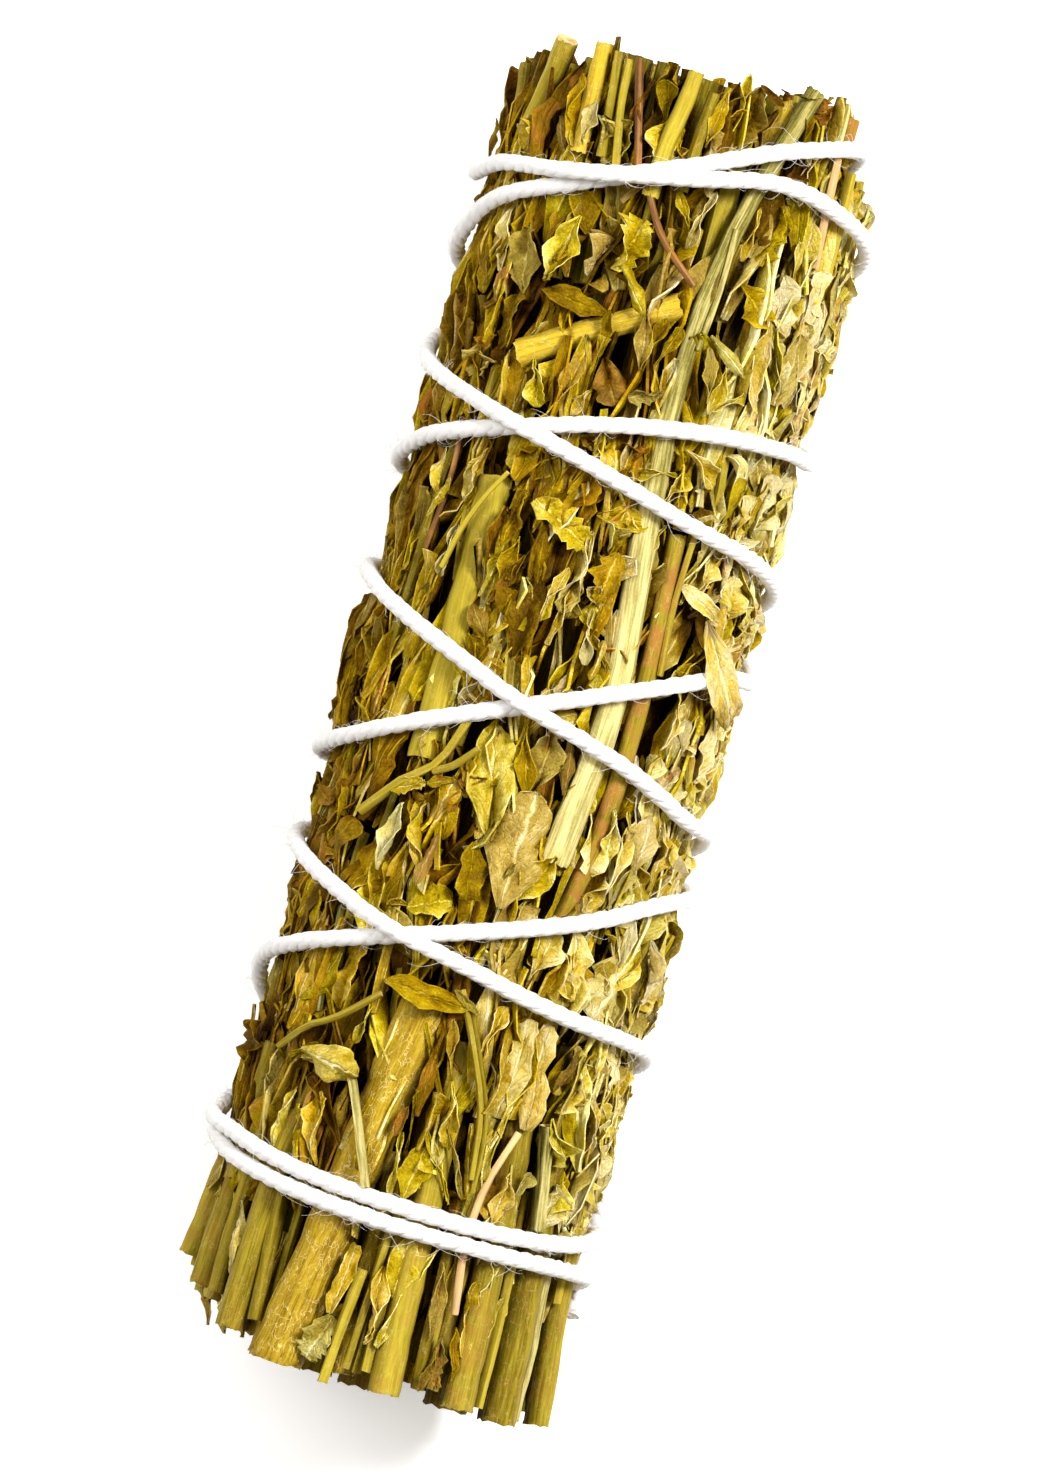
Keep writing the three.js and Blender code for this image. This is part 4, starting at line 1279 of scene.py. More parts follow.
# %% The middle: round the third crossing
show_leaf("broad", "flat", -7.9, 2.2, 6.0, 2.9, 2, 0.70, 0.9)
show_leaf("lance", "folded", -8.0, -2.8, 5.0, 2.4, 4, 0.62, 0.7)
show_stem(OLIVE_STEM, 0.42, 0.68, [(-5.0, -0.6), (-6.4, -4.4), (-9.0, -6.8), (-11.4, -9.8)], 0.8)
show_leaf("ragged", "flat", -8.5, -6.9, 3.2, 1.7, 70, 0.66, 1.2)
show_stem(OLIVE_STEM, 0.3, 0.6, [(-3.6, -2.6), (-5.2, -4.4), (-6.6, -5.2)], 0.9)
show_leaf("lance", "curled", -4.3, -4.6, 2.6, 1.0, 150, 0.5, 0.9, 1.0)
show_leaf("lance", "curled", -6.0, -5.9, 2.4, 1.0, 70, 0.55, 1.0, 1.0)
show_leaf("lance", "curled", -4.3, -7.2, 2.0, 1.2, 20, 0.3, 0.7, 1.0)
show_leaf("broad", "flat", -2.0, -4.9, 9.4, 4.0, -14, 0.60, 0.9)
show_leaf("lance", "folded", 0.4, -2.4, 6.0, 1.7, -14, 0.4, 0.6)
show_leaf("broad", "folded", 2.0, -2.2, 5.2, 3.0, 4, 0.58, 0.8)
show_leaf("lance", "tent", 3.8, -1.8, 5.2, 1.2, -8, 0.35, 0.3)
show_leaf("broad", "flat", 1.7, -9.6, 9.8, 5.4, 2, 0.62, 1.0, fold=-0.22, furl=-0.5)
show_leaf("broad", "folded", 4.0, -11.4, 5.2, 2.7, 32, 0.66, 1.3)
show_leaf("broad", "draped", -1.7, -12.2, 4.8, 2.4, 174, 0.30, 0.4)
show_leaf("lance", "folded", -8.8, -11.2, 5.8, 1.9, 6, 0.86, 0.9)
show_leaf("broad", "folded", -6.6, -10.4, 5.6, 2.5, -14, 0.66, 0.8, 0.3)
show_leaf("lance", "tent", -5.2, -12.2, 4.6, 1.4, 10, 0.5, 0.7, 0.6)
show_leaf("lance", "folded", 10.0, -8.2, 6.6, 1.7, 10, 0.88, 0.9)
show_leaf("broad", "folded", 8.9, -6.6, 4.4, 1.8, -8, 0.85, 0.9)
show_leaf("broad", "folded", 9.4, -11.4, 3.6, 2.2, 24, 0.85, 1.0)
show_leaf("broad", "folded", 13.0, -1.6, 4.0, 2.4, 26, 0.9, 0.8)
show_leaf("lance", "flat", 14.2, 2.0, 5.4, 2.1, 4, 0.88, 0.6)
show_leaf("lance", "folded", 11.4, 3.2, 4.4, 1.5, 18, 0.86, 0.8)

# %% Between the fourth and fifth crossings
show_leaf("broad", "draped", -4.4, -15.6, 4.0, 3.0, 70, 0.62, 0.7)
show_leaf("broad", "folded", 6.4, -17.2, 4.8, 2.8, 16, 0.88, 0.9)
show_leaf("lance", "flat", 9.2, -17.0, 5.4, 2.4, 158, 0.86, 1.0)
show_leaf("broad", "folded", 8.9, -19.0, 3.0, 2.0, 150, 0.8, 1.2)
show_leaf("broad", "folded", 14.7, -16.4, 5.4, 2.2, 166, 0.85, 0.9, proud=0.8)
show_leaf("lance", "draped", -2.6, -22.7, 7.6, 2.2, 94, 0.42, 1.7, proud=0.6)
show_leaf("lance", "curled", 0.9, -22.4, 3.0, 0.8, 120, 0.5, 1.6, proud=0.4)
show_leaf("broad", "draped", -9.6, -22.6, 6.4, 3.4, 10, 0.55, 0.9)
show_leaf("lance", "folded", -7.0, -25.6, 5.0, 1.8, 196, 0.6, 0.8)
show_stem(OLIVE_STEM, 0.3, 0.5, [(-6.0, -23.6), (-9.0, -26.4), (-11.0, -27.6), (-12.8, -29.8)], 1.0)
show_leaf("lance", "tent", -9.0, -29.9, 5.6, 1.9, 84, 0.66, 1.2)
show_leaf("lance", "curled", -11.2, -29.6, 3.4, 1.0, 60, 0.4, 1.2)
show_stem(PALE_STEM, 0.42, 0.5, [(-8.4, -29), (-7, -30.5), (-5.6, -33), (-3.1, -38.8)], 1.6, end_lift=-1.6)
show_leaf("broad", "tent", -8.8, -30.0, 6.0, 3.0, 98, 0.62, 1.7, proud=0.9)
show_stem(OLIVE_STEM, 0.28, 0.55, [(0.3, -21.6), (2.4, -26), (4.2, -30.5), (4.9, -36)], 0.8)
show_stem(OLIVE_STEM, 0.24, 0.4, [(1.2, -22.4), (3.2, -26.8), (4.9, -31.5), (5.3, -37)], 0.6)
show_leaf("lance", "tent", -0.5, -29.0, 6.6, 1.1, 2, 0.2, 0.4, 0.6)
show_leaf("lance", "folded", 0.8, -26.4, 5.0, 1.3, -14, 0.5, 0.7)
show_leaf("broad", "folded", 3.7, -24.4, 5.0, 2.0, 12, 0.75, 0.8)
show_leaf("broad", "folded", 1.9, -31.4, 5.4, 1.9, 170, 0.66, 0.8)
show_leaf("ribbon", "draped", 6.2, -26.6, 8.4, 2.2, 6, 0.78, 0.7)
show_leaf("ribbon", "draped", 8.3, -26.8, 8.8, 2.0, -4, 0.78, 0.6)
show_leaf("ragged", "crumpled", 11.6, -27.4, 4.4, 2.8, 30, 0.76, 0.8)
show_leaf("broad", "crumpled", 11.2, -31.4, 4.4, 2.2, 140, 0.7, 0.8)
show_leaf("lance", "folded", 13.6, -29.4, 4.8, 1.6, -14, 0.8, 0.7)
show_leaf("broad", "crumpled", -15.4, -30.4, 4.0, 2.4, 0, 0.15, 1.0)

# %% Above the cut ends
show_leaf("lance", "folded", -11.5, -35.4, 5.6, 1.6, 8, 0.72, 0.7)
show_leaf("broad", "folded", -8.6, -35.4, 6.0, 2.1, -14, 0.66, 0.7)
show_stem(OLIVE_STEM, 0.62, 0.55, [(-13.5, -30), (-13.6, -34), (-13.5, -41)], -0.2)
show_leaf("lance", "folded", -1.4, -36.4, 5.2, 1.5, 176, 0.66, 0.7)
show_leaf("lance", "curled", -1.7, -33.0, 2.6, 0.9, 10, 0.3, 0.8, 1.0)
show_leaf("broad", "flat", 0.4, -36.8, 4.6, 2.4, 10, 0.55, 0.5)
show_leaf("lance", "folded", 2.2, -35.8, 6.4, 1.0, 146, 0.5, 0.9)
show_leaf("lance", "folded", 3.5, -35.2, 6.0, 1.0, 152, 0.42, 0.9)
show_leaf("lance", "tent", 4.5, -34.6, 6.0, 1.0, 168, 0.6, 0.7)
show_leaf("broad", "folded", 8.0, -37.0, 4.4, 1.8, 4, 0.7, 0.6)
show_leaf("spatula", "curled", 9.1, -36.0, 3.4, 1.3, 24, 0.66, 0.9)
show_stem(PALE_STEM, 0.6, 0.25, [(9.7, -30.5), (10.4, -34), (11.1, -38.5)], 0.2, 0.0)
show_leaf("broad", "curled", 12.6, -36.8, 3.8, 3.0, 12, 0.8, 1.1)
show_leaf("ribbon", "draped", -2.9, -46.4, 6.0, 1.5, 6, 0.66, 0.9, curl=0.9)
show_leaf("ragged", "flat", -3.7, -51.4, 4.0, 3.0, 200, 0.66, 0.7)
show_leaf("broad", "flat", 1.5, -44.4, 5.0, 2.6, 2, 0.62, 0.9)
show_leaf("broad", "folded", 0.1, -47.8, 6.4, 2.2, 178, 0.72, 0.7)
show_leaf("ribbon", "folded", 2.7, -46.6, 9.4, 1.2, 18, 0.7, 1.1)
show_leaf("lance", "folded", 4.9, -46.2, 6.4, 1.2, 174, 0.4, 0.4)
show_leaf("lance", "tent", -12.1, -45.6, 6.0, 1.3, 170, 0.66, 0.2)
show_leaf("broad", "folded", 9.2, -43.8, 5.0, 2.3, 2, 0.8, 0.8)
show_leaf("ribbon", "curled", 8.2, -47.0, 6.4, 1.3, -8, 0.55, 0.7)
show_leaf("lance", "curled", 10.0, -47.0, 5.0, 0.9, 16, 0.6, 0.8)
show_leaf("ragged", "crumpled", 6.4, -51.0, 4.4, 1.2, 172, 0.35, 0.2, 0.5)
show_leaf("lance", "folded", 5.6, -51.6, 4.0, 1.0, 186, 0.3, 0.0)
show_leaf("lance", "folded", 7.4, -50.0, 4.4, 1.0, 168, 0.4, 0.1)

# %% More cut stems at the butt
show_stem(OLIVE_STEM, 0.75, 0.4, [(-12.5, -50.2), (-12.5, -45), (-12.3, -40)], -0.6, master=ridged_stem)
show_stem(OLIVE_STEM, 0.6, 0.3, [(-8.9, -51.4), (-9.2, -46), (-9.5, -40)], -0.5)
show_stem(OLIVE_STEM, 0.45, 0.45, [(-9.9, -51.0), (-10.0, -46), (-10.0, -40)], -1.2)
show_stem(OLIVE_STEM, 0.5, 0.62, [(-2.3, -54.7), (-2.0, -50), (-1.6, -45.4)], 0.7)
show_stem(OLIVE_STEM, 0.4, 0.4, [(-0.8, -53.2), (-0.6, -48), (-0.3, -42)], -0.4)
show_stem(OLIVE_STEM, 0.55, 0.5, [(0.8, -53.0), (0.6, -48), (0.4, -42)], -0.9)
show_stem(OLIVE_STEM, 0.5, 0.2, [(5.0, -52.6), (4.8, -47), (4.6, -41)], -0.6)
show_stem(PALE_STEM, 0.8, 0.35, [(13.0, -53.9), (12.9, -48), (12.4, -41)], -0.5, master=ridged_stem)
show_stem(PALE_STEM, 0.55, 0.25, [(14.4, -53.2), (14.2, -48), (13.6, -41)], -0.8, master=ridged_stem)
show_stem(OLIVE_STEM, 0.4, 0.8, [(10.3, -53.6), (10.2, -48), (9.9, -41)], -0.3)
print("Stems and leaves in full view:", len(stalks), leaf_count())

# %% [markdown]
# ## The loose leaves
# Under and between them the bundle is filled from the inside out, as pressing a real one does: broken bits
# and leaves deep down, then long folded leaves and thin stalks that lie mostly along the stems, then the
# loose ones that show. The -X side holds mostly long dark leaves and stalks, the +X side small pale
# leaflets on their own little stalks, as they grow. Their tones are darker at the -X side and paler at the +X
# side, partly the leaves' own colour and partly painted light, as the light comes from the right.

# %% Filling one layer
KINDS = {  # for each: its length, width, spread of heading and fold
    "narrow": ((8, 16), (1.8, 3.2), 8, (0.5, 1.3)),
    "pointed": ((4, 9), (2.0, 3.8), 20, (0.4, 1.2)),
    "leaflet": ((3.5, 7), (2.0, 3.6), 26, (0.3, 1.1)),
    "spoon": ((3.5, 7), (1.8, 3.2), 24, (0.3, 1.1)),
    "lobed": ((4, 8), (2.6, 4.6), 28, (0.3, 1.1)),
    "strip": ((7, 18), (0.7, 1.4), 8, (0.4, 1.3)),
    "crumb": ((1.0, 2.8), (0.7, 1.9), 90, (-0.4, 0.8)),
    "broad": ((5, 9), (3.0, 5.0), 24, (0.3, 1.1)),
    "ragged": ((5, 10), (3.2, 5.6), 26, (0.3, 1.1)),
    "lance": ((6, 12), (2.2, 3.8), 16, (0.3, 1.2)),
    "ribbon": ((9, 17), (2.0, 3.4), 9, (0.4, 1.2)),
    "spatula": ((6, 11), (2.4, 4.0), 22, (0.2, 1.0)),
}
LEAFY_FROM = -42.5  # the outer loose leaves end here, and bare stems go on to the butt


def loose_tint(rng, angle):
    """A tone, a witheredness and a seed. The tone is darker at the -X side and paler at the +X side: partly
    the leaves' own colour and partly painted light, as the light comes from the right.
    """
    side = math.sin(math.radians(angle))
    # Painted light in part: the +X side is paler and the -X side darker, as the light falls from the right.
    tone = 0.51 + (0.27 if side > 0 else 0.18) * side + rng.normal(0, 0.17)
    return float(np.clip(tone, 0.04, 0.97)), rng.choice([0.0, 0.3, 0.95], p=[0.68, 0.26, 0.06]), rng.random()


def fill_layer(count, radii, shares, seed, sector=(-180, 180), reach=(-43, 52), lively=1.0, on_edge=0.45,
               folding=1.0, slope=0.0):
    """Lays loose leaves between two radii, with the kinds in these shares. Lively ones are bent more, and
    the share on_edge of them stands on edge."""
    rng = np.random.default_rng(seed)
    names = list(shares)
    weights = np.array(list(shares.values()), dtype=float)
    for _ in range(count):
        kind = rng.choice(names, p=weights / weights.sum())
        lengths, widths, spread, folds = KINDS[kind]
        angle, along = rng.uniform(*sector), rng.uniform(*reach)
        length, width = rng.uniform(*lengths), rng.uniform(*widths)
        along = max(along, LEAFY_FROM + length / 2 - rng.exponential(1.0))
        along = min(along, tip_limit(angle, radii[1]) - length / 2 + rng.uniform(0, 2.5))
        heading = rng.normal(slope, spread) + (180 if rng.random() < 0.35 else 0)
        radius = rng.uniform(*radii)
        roll = rng.choice([-1, 1]) * rng.uniform(30, 78) if rng.random() < on_edge else rng.normal(0, 18)
        bend = {
            "fold": folding * rng.uniform(*folds) * rng.choice([1, 1, -0.8]),
            "furl": rng.normal(0.6, 1.2) * lively, "skew": rng.normal(0, 0.5), "ripple": rng.uniform(0, 0.05),
            "curl": rng.normal(0, 0.7 * lively), "twist": rng.normal(0, 0.8 * lively),
            "wave": rng.uniform(0.02, 0.16) * lively, "crease": rng.uniform(0, 0.08) * lively,
            "ragged": rng.uniform(0.04, 0.25), "lean": rng.uniform(0, 0.4), "phase": rng.uniform(0, 6.3),
        }
        pitch, tint = rng.normal(0, 5 * lively), loose_tint(rng, angle)
        if is_free(angle, radius, along, heading, length, width):
            add_leaf(kind, angle, radius, along, length, width, heading, pitch, roll, tint, **bend)


# %% Leaflets on their stalks
def add_frond(rng, angle, radius, along):
    """A little stalk with two rows of leaflets and one at its tip."""
    length, heading = rng.uniform(5, 10), rng.normal(0, 16)
    pairs, tint = int(rng.integers(2, 5)), loose_tint(rng, angle)
    turn = math.radians(heading)
    add_leaf("strip", angle, radius - 0.2, along, length, 0.5, heading=heading, tint=tint, fold=0.6)
    for i in range(2 * pairs + 1):
        share = (i // 2 + 0.6) / (pairs + 0.4) - 0.5
        side = 0 if i == 2 * pairs else (-1 if i % 2 else 1)
        size = rng.uniform(2.8, 4.8) * (1.15 if side == 0 else 1)
        out = heading + side * rng.uniform(22, 50)
        across = share * length * math.sin(turn) + 0.4 * size * math.sin(math.radians(out))
        up = share * length * math.cos(turn) + 0.4 * size * math.cos(math.radians(out))
        place = angle + math.degrees(across / SURFACE), along + up
        width, kind = size * rng.uniform(0.42, 0.64), rng.choice(["spoon", "leaflet", "spoon", "pointed"])
        if is_free(place[0], radius, place[1], out, size, width) and place[1] > LEAFY_FROM:
            tone = float(np.clip(tint[0] + rng.normal(0, 0.10), 0.05, 0.98))
            add_leaf(
                kind, place[0], radius + rng.uniform(-0.2, 0.5), place[1], size, width, heading=out,
                pitch=rng.normal(6, 9), roll=rng.normal(0, 26), tint=(tone, tint[1], rng.random()),
                fold=rng.uniform(0, 1.0) * rng.choice([1, -0.8]), furl=rng.normal(0.6, 0.9),
                skew=rng.normal(0, 0.4), curl=rng.normal(0, 0.7), twist=rng.normal(0, 0.5),
                wave=rng.uniform(0.02, 0.12), ragged=rng.uniform(0.03, 0.2), lean=rng.uniform(0, 0.3),
                phase=rng.uniform(0, 6.3),
            )


def fill_fronds(count, seed, sector, radii=(14.6, 15.9)):
    rng = np.random.default_rng(seed)
    for _ in range(count):
        angle, along = rng.uniform(*sector), rng.uniform(-40, 47)
        add_frond(rng, angle, rng.uniform(*radii), min(along, tip_limit(angle) - 5))


# %% Thin stalks among the leaves
STALK_DEPTH = (-1.6, 0.2)  # how far past SURFACE a stalk's outside lies
STALK_RADII = (0.22, 0.6)


def fill_stalks(count, seed, sector):
    """Stalks that run mostly along the bundle and dip in at both ends."""
    rng = np.random.default_rng(seed)
    for _ in range(count):
        angle, along, length = rng.uniform(*sector), rng.uniform(-40, 48), rng.uniform(8, 26)
        drift, radius = rng.normal(0, 0.22) * length / 2, rng.uniform(*STALK_RADII)
        low, high = max(along - length / 2, -44), min(along + length / 2, tip_limit(angle) - 0.3)
        tint = loose_tint(rng, angle)
        reach = SURFACE + rng.uniform(*STALK_DEPTH) - radius
        share = np.linspace(-1, 1, 5)
        angles = angle + drift * share + rng.normal(0, 1.2, 5)
        radii = reach - 0.5 * share**2 + rng.normal(0, 0.15, 5)
        alongs = low + (high - low) * (share + 1) / 2
        radii = np.minimum(radii, outer_limit(angles, alongs) - radius)
        if high - low > 4 and is_free(angle, SURFACE, (low + high) / 2, 0, high - low, 2 * radius):
            twist, finish = rng.normal(0, 1), OLIVE_STEM if rng.random() < 0.8 else PALE_STEM
            add_stalk(around(angles, radii, alongs), radius, tint, twist, finish)


# %% The layers, from the inside out
LEFT, TOP, RIGHT, BACK = (-118, -38), (-38, 36), (36, 112), (112, 242)
DEEP = {"narrow": 3, "pointed": 2, "leaflet": 2, "lobed": 1}
LONG = {"narrow": 5, "strip": 3, "pointed": 1.2, "leaflet": 0.5, "crumb": 0.5}
MIXED = {"narrow": 3, "pointed": 2, "leaflet": 1.6, "spoon": 1.2, "lobed": 1.2, "strip": 1.6, "crumb": 1.2}
SMALL = {"leaflet": 2.4, "spoon": 2.4, "pointed": 1.6, "narrow": 1.4, "lobed": 1.2, "strip": 0.8,
         "crumb": 1.2}
LONG_TOP = {"ribbon": 4, "lance": 2.4, "ragged": 0.6, "spatula": 0.6}
MIXED_TOP = {"lance": 2.6, "broad": 2, "ragged": 2, "ribbon": 1.8, "spatula": 1.6}
SMALL_TOP = {"spatula": 2, "broad": 1.6, "ragged": 1.6, "lance": 1.4}
fill_layer(110, (10.4, 12.6), DEEP, seed=11, lively=0.8)
fill_layer(400, (12.6, 14.2), LONG, seed=12)
fill_stalks(60, 21, LEFT)
fill_stalks(34, 22, TOP)
fill_stalks(26, 23, RIGHT)
fill_stalks(40, 24, BACK)
fill_layer(330, (14.0, 15.4), LONG, seed=13, sector=LEFT, on_edge=0.2, folding=0.7, slope=5)
fill_layer(110, (15.0, 16.4), LONG_TOP, seed=17, sector=LEFT, on_edge=0.1, folding=0.8, slope=6)
fill_layer(420, (13.8, 15.4), MIXED, seed=14, sector=TOP, on_edge=0.3)
fill_layer(170, (15.0, 16.2), MIXED_TOP, seed=18, sector=TOP, on_edge=0.15)
fill_layer(300, (14.0, 15.6), SMALL, seed=15, sector=RIGHT, on_edge=0.3)
fill_layer(70, (15.2, 16.4), SMALL_TOP, seed=19, sector=RIGHT, on_edge=0.15, folding=0.8)
fill_layer(350, (14.2, 15.9), MIXED, seed=16, sector=BACK)
fill_layer(50, (13.4, 15.2), MIXED, seed=20, sector=(40, 130), reach=(40, 50))
fill_layer(28, (14.2, 15.6), MIXED, seed=22, sector=(-120, -60), reach=(28, 50))
fill_layer(30, (14.6, 15.9), MIXED, seed=23, sector=(65, 130), reach=(37, 46.5))
fill_layer(44, (11.2, 12.4), LONG, seed=24, sector=(55, 150), reach=(44, 52))
fill_fronds(60, 31, RIGHT, (14.8, 16.2))
fill_fronds(14, 32, TOP, (14.6, 15.6))
fill_fronds(10, 33, LEFT, (14.4, 15.4))
fill_fronds(40, 34, BACK)

# %% [markdown]
# ## The two ends
# Seen from its ends a tight bundle is solid: thin stems fill the gaps between the thick ones, and crumbled
# leaf fills what is left. The gaps are found by trial: a place is drawn at random, and a stem goes in if it
# touches no other, starting with the thickest.

# %% Thin stems in the gaps
def section_at(along):
    """Where the frame's stems cross a plane: x and z from the middle line, and the radius."""
    found = []
    for name in nodes:
        if "stem" in name or "twig" in name:
            middles, radii = stem_line(name)
            xs, ys, zs = middles.T
            if ys[0] - 1 < MIDDLE_Y + along < ys[-1] + 1:
                x, z, radius = (np.interp(MIDDLE_Y + along, ys, row) for row in (xs, zs, radii))
                found.append((x - AXIS_X, z - AXIS_Z, radius))
    return found


def fill_gaps(plane, out, sizes, tries, seed):
    """Stems parallel to the bundle, from inside it out to the end that lies on this side."""
    rng = np.random.default_rng(seed)
    taken = section_at(plane)
    end = 1 if plane > 0 else -1
    count = 0
    for size in np.linspace(*sizes, tries):
        turn, reach = rng.uniform(-np.pi, np.pi), (out - size) * math.sqrt(rng.random())
        x, z = reach * math.sin(turn), reach * math.cos(turn)
        gaps = [math.hypot(x - other[0], z - other[1]) - other[2] - size for other in taken]
        if min(gaps) < 0.02 or z - size < REST_PLANE - AXIS_Z or (reach > 13.9 - size and z > 2):
            continue
        taken.append((x, z, size))
        shorter = 3.8 * smooth(-math.sin(turn), 0.75, 0.95) * smooth(reach, 11, 13)
        limit = tip_limit(math.degrees(turn), reach) if end > 0 else BUTT_END - shorter
        far = limit - rng.exponential(1.3)
        route = ((0.96, 36), (0.99, 44), (1, far))[::end]
        middles = np.array([[AXIS_X + x * k, MIDDLE_Y + end * at, AXIS_Z + z * k] for k, at in route])
        tint, twist = loose_tint(rng, 0), rng.normal(0, 0.5)
        add_stalk(middles, size, tint, twist, OLIVE_STEM if rng.random() < 0.75 else WOODY_STEM)
        count += 1
    print("Thin stems in the gaps at", plane, "mm:", count)


fill_gaps(-50, 15.2, (1.5, 0.32), 2600, 51)
fill_gaps(46, 13.6, (1.2, 0.30), 1500, 52)

# %% Crumbled leaf between the stems
def fill_end(count, end, seed, kinds, back=(0.3, 1.6), lengths=(4, 8), ring=(2, 13.4)):
    """Leaves along the bundle just inside one end. They end back from its limit by at least the first of back
    and by the second more on the average."""
    rng = np.random.default_rng(seed)
    for _ in range(count):
        angle, radius = rng.uniform(-180, 180), math.sqrt(rng.uniform(ring[0] ** 2, ring[1] ** 2))
        length, width = rng.uniform(*lengths), rng.uniform(1.3, 3.0)
        limit = tip_limit(angle, radius) if end > 0 else BUTT_END
        along = end * (limit - back[0] - rng.exponential(back[1]) - length / 2)
        heading = rng.normal(0 if end > 0 else 180, 12)
        bend = {
            "fold": rng.uniform(0.2, 1.3), "furl": rng.normal(0.5, 0.9), "skew": rng.normal(0, 0.4),
            "wave": rng.uniform(0.02, 0.14), "ragged": rng.uniform(0.05, 0.25), "phase": rng.uniform(0, 6.3),
        }
        place = angle, radius, along, length, width, heading, rng.normal(0, 7), rng.uniform(-90, 90)
        add_leaf(rng.choice(kinds), *place, loose_tint(rng, 20), **bend)


fill_end(150, 1, 41, ["pointed", "leaflet", "lobed", "spoon", "narrow"])
fill_end(60, 1, 42, ["leaflet", "lobed"], (5, 4))
fill_end(90, -1, 43, ["leaflet", "lobed", "pointed"], (3.5, 2.5), (5, 9))
fill_end(44, -1, 44, ["pointed", "lobed", "narrow", "spoon"], (0.0, 1.3), (4, 8), (11, 13.7))


def fill_across(count, along, seed):
    """Leaves crushed flat across the bundle, well inside it, so that the gaps between stems end in leaf."""
    rng = np.random.default_rng(seed)
    for _ in range(count):
        angle, radius = rng.uniform(-180, 180), math.sqrt(rng.uniform(3.5**2, 9.5**2))
        length, width = rng.uniform(6, 8), rng.uniform(4, 6)
        bend = {"fold": rng.uniform(0, 0.3), "wave": 0.1, "ragged": 0.1, "phase": rng.uniform(0, 6.3)}
        middle, heading, pitch = along + rng.normal(0, 1.2), rng.normal(0, 30), 90 + rng.normal(0, 12)
        tint = loose_tint(rng, 0)
        add_leaf("leaflet", angle, radius, middle, length, width, heading, pitch, 0, tint, **bend)


fill_across(44, 43, 45)
fill_across(44, -46, 46)

# %% Painted shade on what lies deeper than its neighbours, and on the flanks of stems
# Painted shade: a point's tone is darkened by how far it lies below its neighbours, where shade falls between
# the pieces.
DEPTH_SHADE = 0.24  # how much the tone falls for each millimetre below the neighbours
# Painted shade on stems: the tone falls from the crown to the flank, which faces the light less.
FLANK_SHADE = 0.34  # how much a stem's tone falls from its crown to its flank
DEGREES, STEPS = 1.0, 0.25  # the height map's cells
MAP_END = 57  # the height map goes this far to each side of the bundle's middle


def map_cells(angle, along):
    around_it = np.round((angle + 180) / DEGREES).astype(int) % int(360 / DEGREES)
    return around_it, np.clip(np.round((along + MAP_END) / STEPS).astype(int), 0, int(2 * MAP_END / STEPS))


plant = [*stem_pieces, *stalks, *(copy for copies in spray_copies.values() for copy in copies)]
heights = np.full((int(360 / DEGREES), int(2 * MAP_END / STEPS) + 1), 10.0)
for piece in plant:
    angle, radius, along = where(points_of(piece.data) / MM)
    np.maximum.at(heights, map_cells(angle, along), radius)
for _ in range(3):
    heights = np.maximum.reduce([np.roll(heights, move, axis) for axis in (0, 1) for move in (-1, 0, 1)])
for _ in range(4):
    heights = sum(np.roll(heights, move, axis) for axis in (0, 1) for move in (-1, 0, 1)) / 6
# Each piece's tone in its tint is darkened as painted shade: deep points more, and less near an open end,
# where light gets in.
for piece in plant:
    angle, radius, along = where(points_of(piece.data) / MM)
    below = np.clip(heights[map_cells(angle, along)] - radius - 0.25, 0, 3)
    tints = vectors_of(piece.data.attributes["tint"].data, "vector")
    from_end = np.minimum(tip_limit(angle, radius) - along, along + BUTT_END + 0.2)
    open_end = (1 - smooth(from_end, 0, 7)) * (1 - smooth(radius, 11, 14))
    drop = (DEPTH_SHADE * below + 0.03 * np.maximum(0, SURFACE - radius)) * (1 - 0.6 * open_end)
    # The tone is also darker towards the tips.
    drop += 0.2 * smooth(along, 46, 53)
    # Painted shade on the flanks of stems, which face away from the light.
    if "_stem" in piece.name or "twig" in piece.name:
        normals = vectors_of(piece.data.vertices, "normal")
        turn = np.radians(angle)
        facing = normals[:, 0] * np.sin(turn) + normals[:, 2] * np.cos(turn)
        drop = np.minimum(0.75 * drop, 0.5) + FLANK_SHADE * np.clip(1 - facing, 0, 1.3) ** 2
    tints[:, 0] -= drop
    set_vectors(piece.data, "tint", tints)
print("Pieces shaded by depth:", len(plant))

# %% The stalks as pieces
piece = joined(stalks, "loose_stalks")
print("Stalks:", len(stalks), "with", len(piece.data.polygons), "faces")

# %% The sprays as pieces
for name, copies in spray_copies.items():
    if not copies:
        print("No leaf fell to", name)
        continue
    pale = name.startswith("leaf") and int(name[-2:]) in PALE_SPRAYS
    piece = joined(copies, name + "_leaves", PALE_LEAF if pale else LEAF)
    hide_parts(name)
print("Leaves:", leaf_count())
for blank in [*masters.values(), ridged_stem, round_stem, thin_stem]:
    bpy.data.objects.remove(blank)

# %% [markdown]
# ## Floor, light and camera
# A plain white floor, a large soft light from the upper right and a weak one from the left. The camera
# looks straight down with a long lens, turned so that the bundle leans to the right.

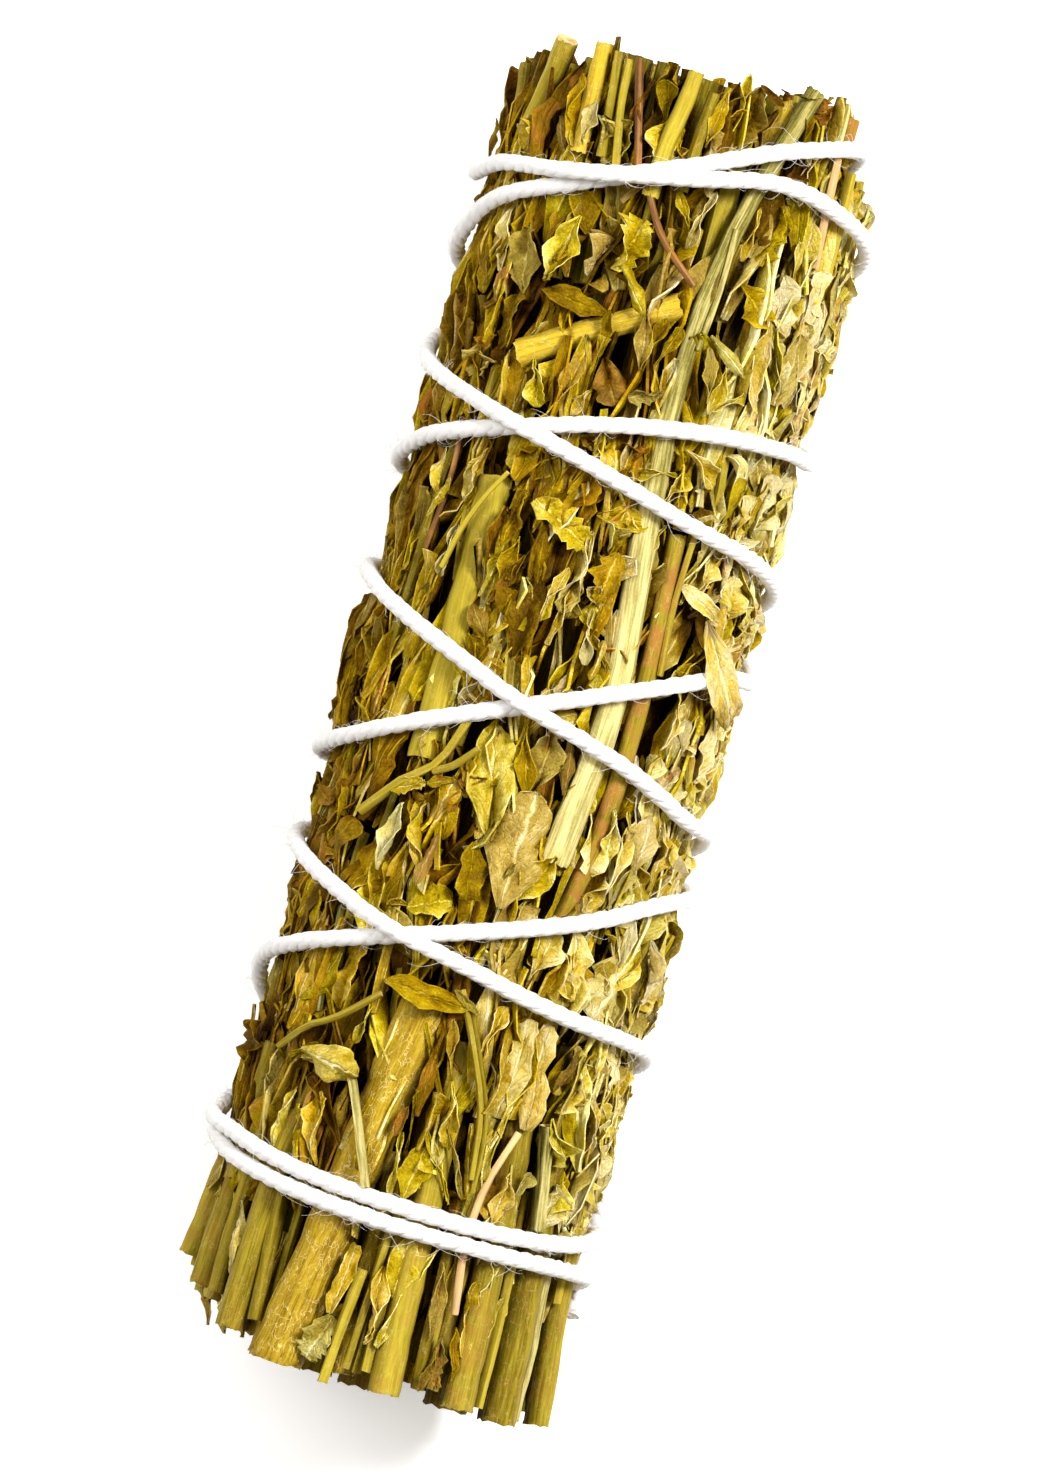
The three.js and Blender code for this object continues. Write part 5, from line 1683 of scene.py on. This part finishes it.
# %% Floor and light
deselect_all()
bpy.ops.mesh.primitive_plane_add(size=4, location=(0, 0, 0))
floor = bpy.context.object
floor.name = "floor"
paper, _, paper_surface = new_material("White paper", 0.8)
paper_surface["Base Color"].default_value = (0.93, 0.93, 0.93, 1)
paper_surface["Emission Color"].default_value = (1, 1, 1, 1)
to_camera = node(paper.node_tree, "LightPath")["Is Camera Ray"]
wire(paper.node_tree, calc(paper.node_tree, "MULTIPLY", to_camera, 0.36), paper_surface["Emission Strength"])
floor.data.materials.append(paper)


def soft_light(name, place, size, power):
    bpy.ops.object.light_add(type="AREA", location=place)
    light = bpy.context.object
    light.name = name
    light.data.shape, light.data.size, light.data.energy = "DISK", size, power
    light.rotation_euler = (-light.location).to_track_quat("-Z", "Y").to_euler()


soft_light("key_light", (0.40, 0.36, 0.74), 0.26, 12.0)
soft_light("fill_light", (-0.5, 0.2, 0.7), 0.6, 5.0)
world = bpy.data.worlds.new("Studio")
world.use_nodes = True
world.node_tree.nodes["Background"].inputs["Color"].default_value = (1, 0.95, 0.88, 1)
to_camera = node(world.node_tree, "LightPath")["Is Camera Ray"]
strength = calc(world.node_tree, "MULTIPLY_ADD", to_camera, 0.6, 0.36)
wire(world.node_tree, strength, world.node_tree.nodes["Background"].inputs["Strength"])
bpy.context.scene.world = world
bpy.context.scene.view_settings.view_transform = "Standard"

# %% Camera
LEAN = math.radians(15.27)
LENS, SENSOR = 450, 36
VIEW_HEIGHT = 120.1 * MM  # what the picture's height takes in, at the bundle's middle line
bpy.ops.object.camera_add()
camera = bpy.context.object
camera.data.lens, camera.data.sensor_width = LENS, SENSOR
distance = VIEW_HEIGHT * LENS / SENSOR
camera.location = ((AXIS_X + 0.27) * MM, (MIDDLE_Y - 0.9) * MM, AXIS_Z * MM + distance)
camera.rotation_euler = (0, 0, LEAN)
camera.data.clip_end = 10
bpy.context.scene.camera = camera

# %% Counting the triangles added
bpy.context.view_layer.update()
total = 0
for piece in bpy.data.objects:
    if piece.type == "MESH" and not piece.hide_render and piece.name not in nodes:
        piece.data.calc_loop_triangles()
        total += len(piece.data.loop_triangles)
print("Triangles added:", total)
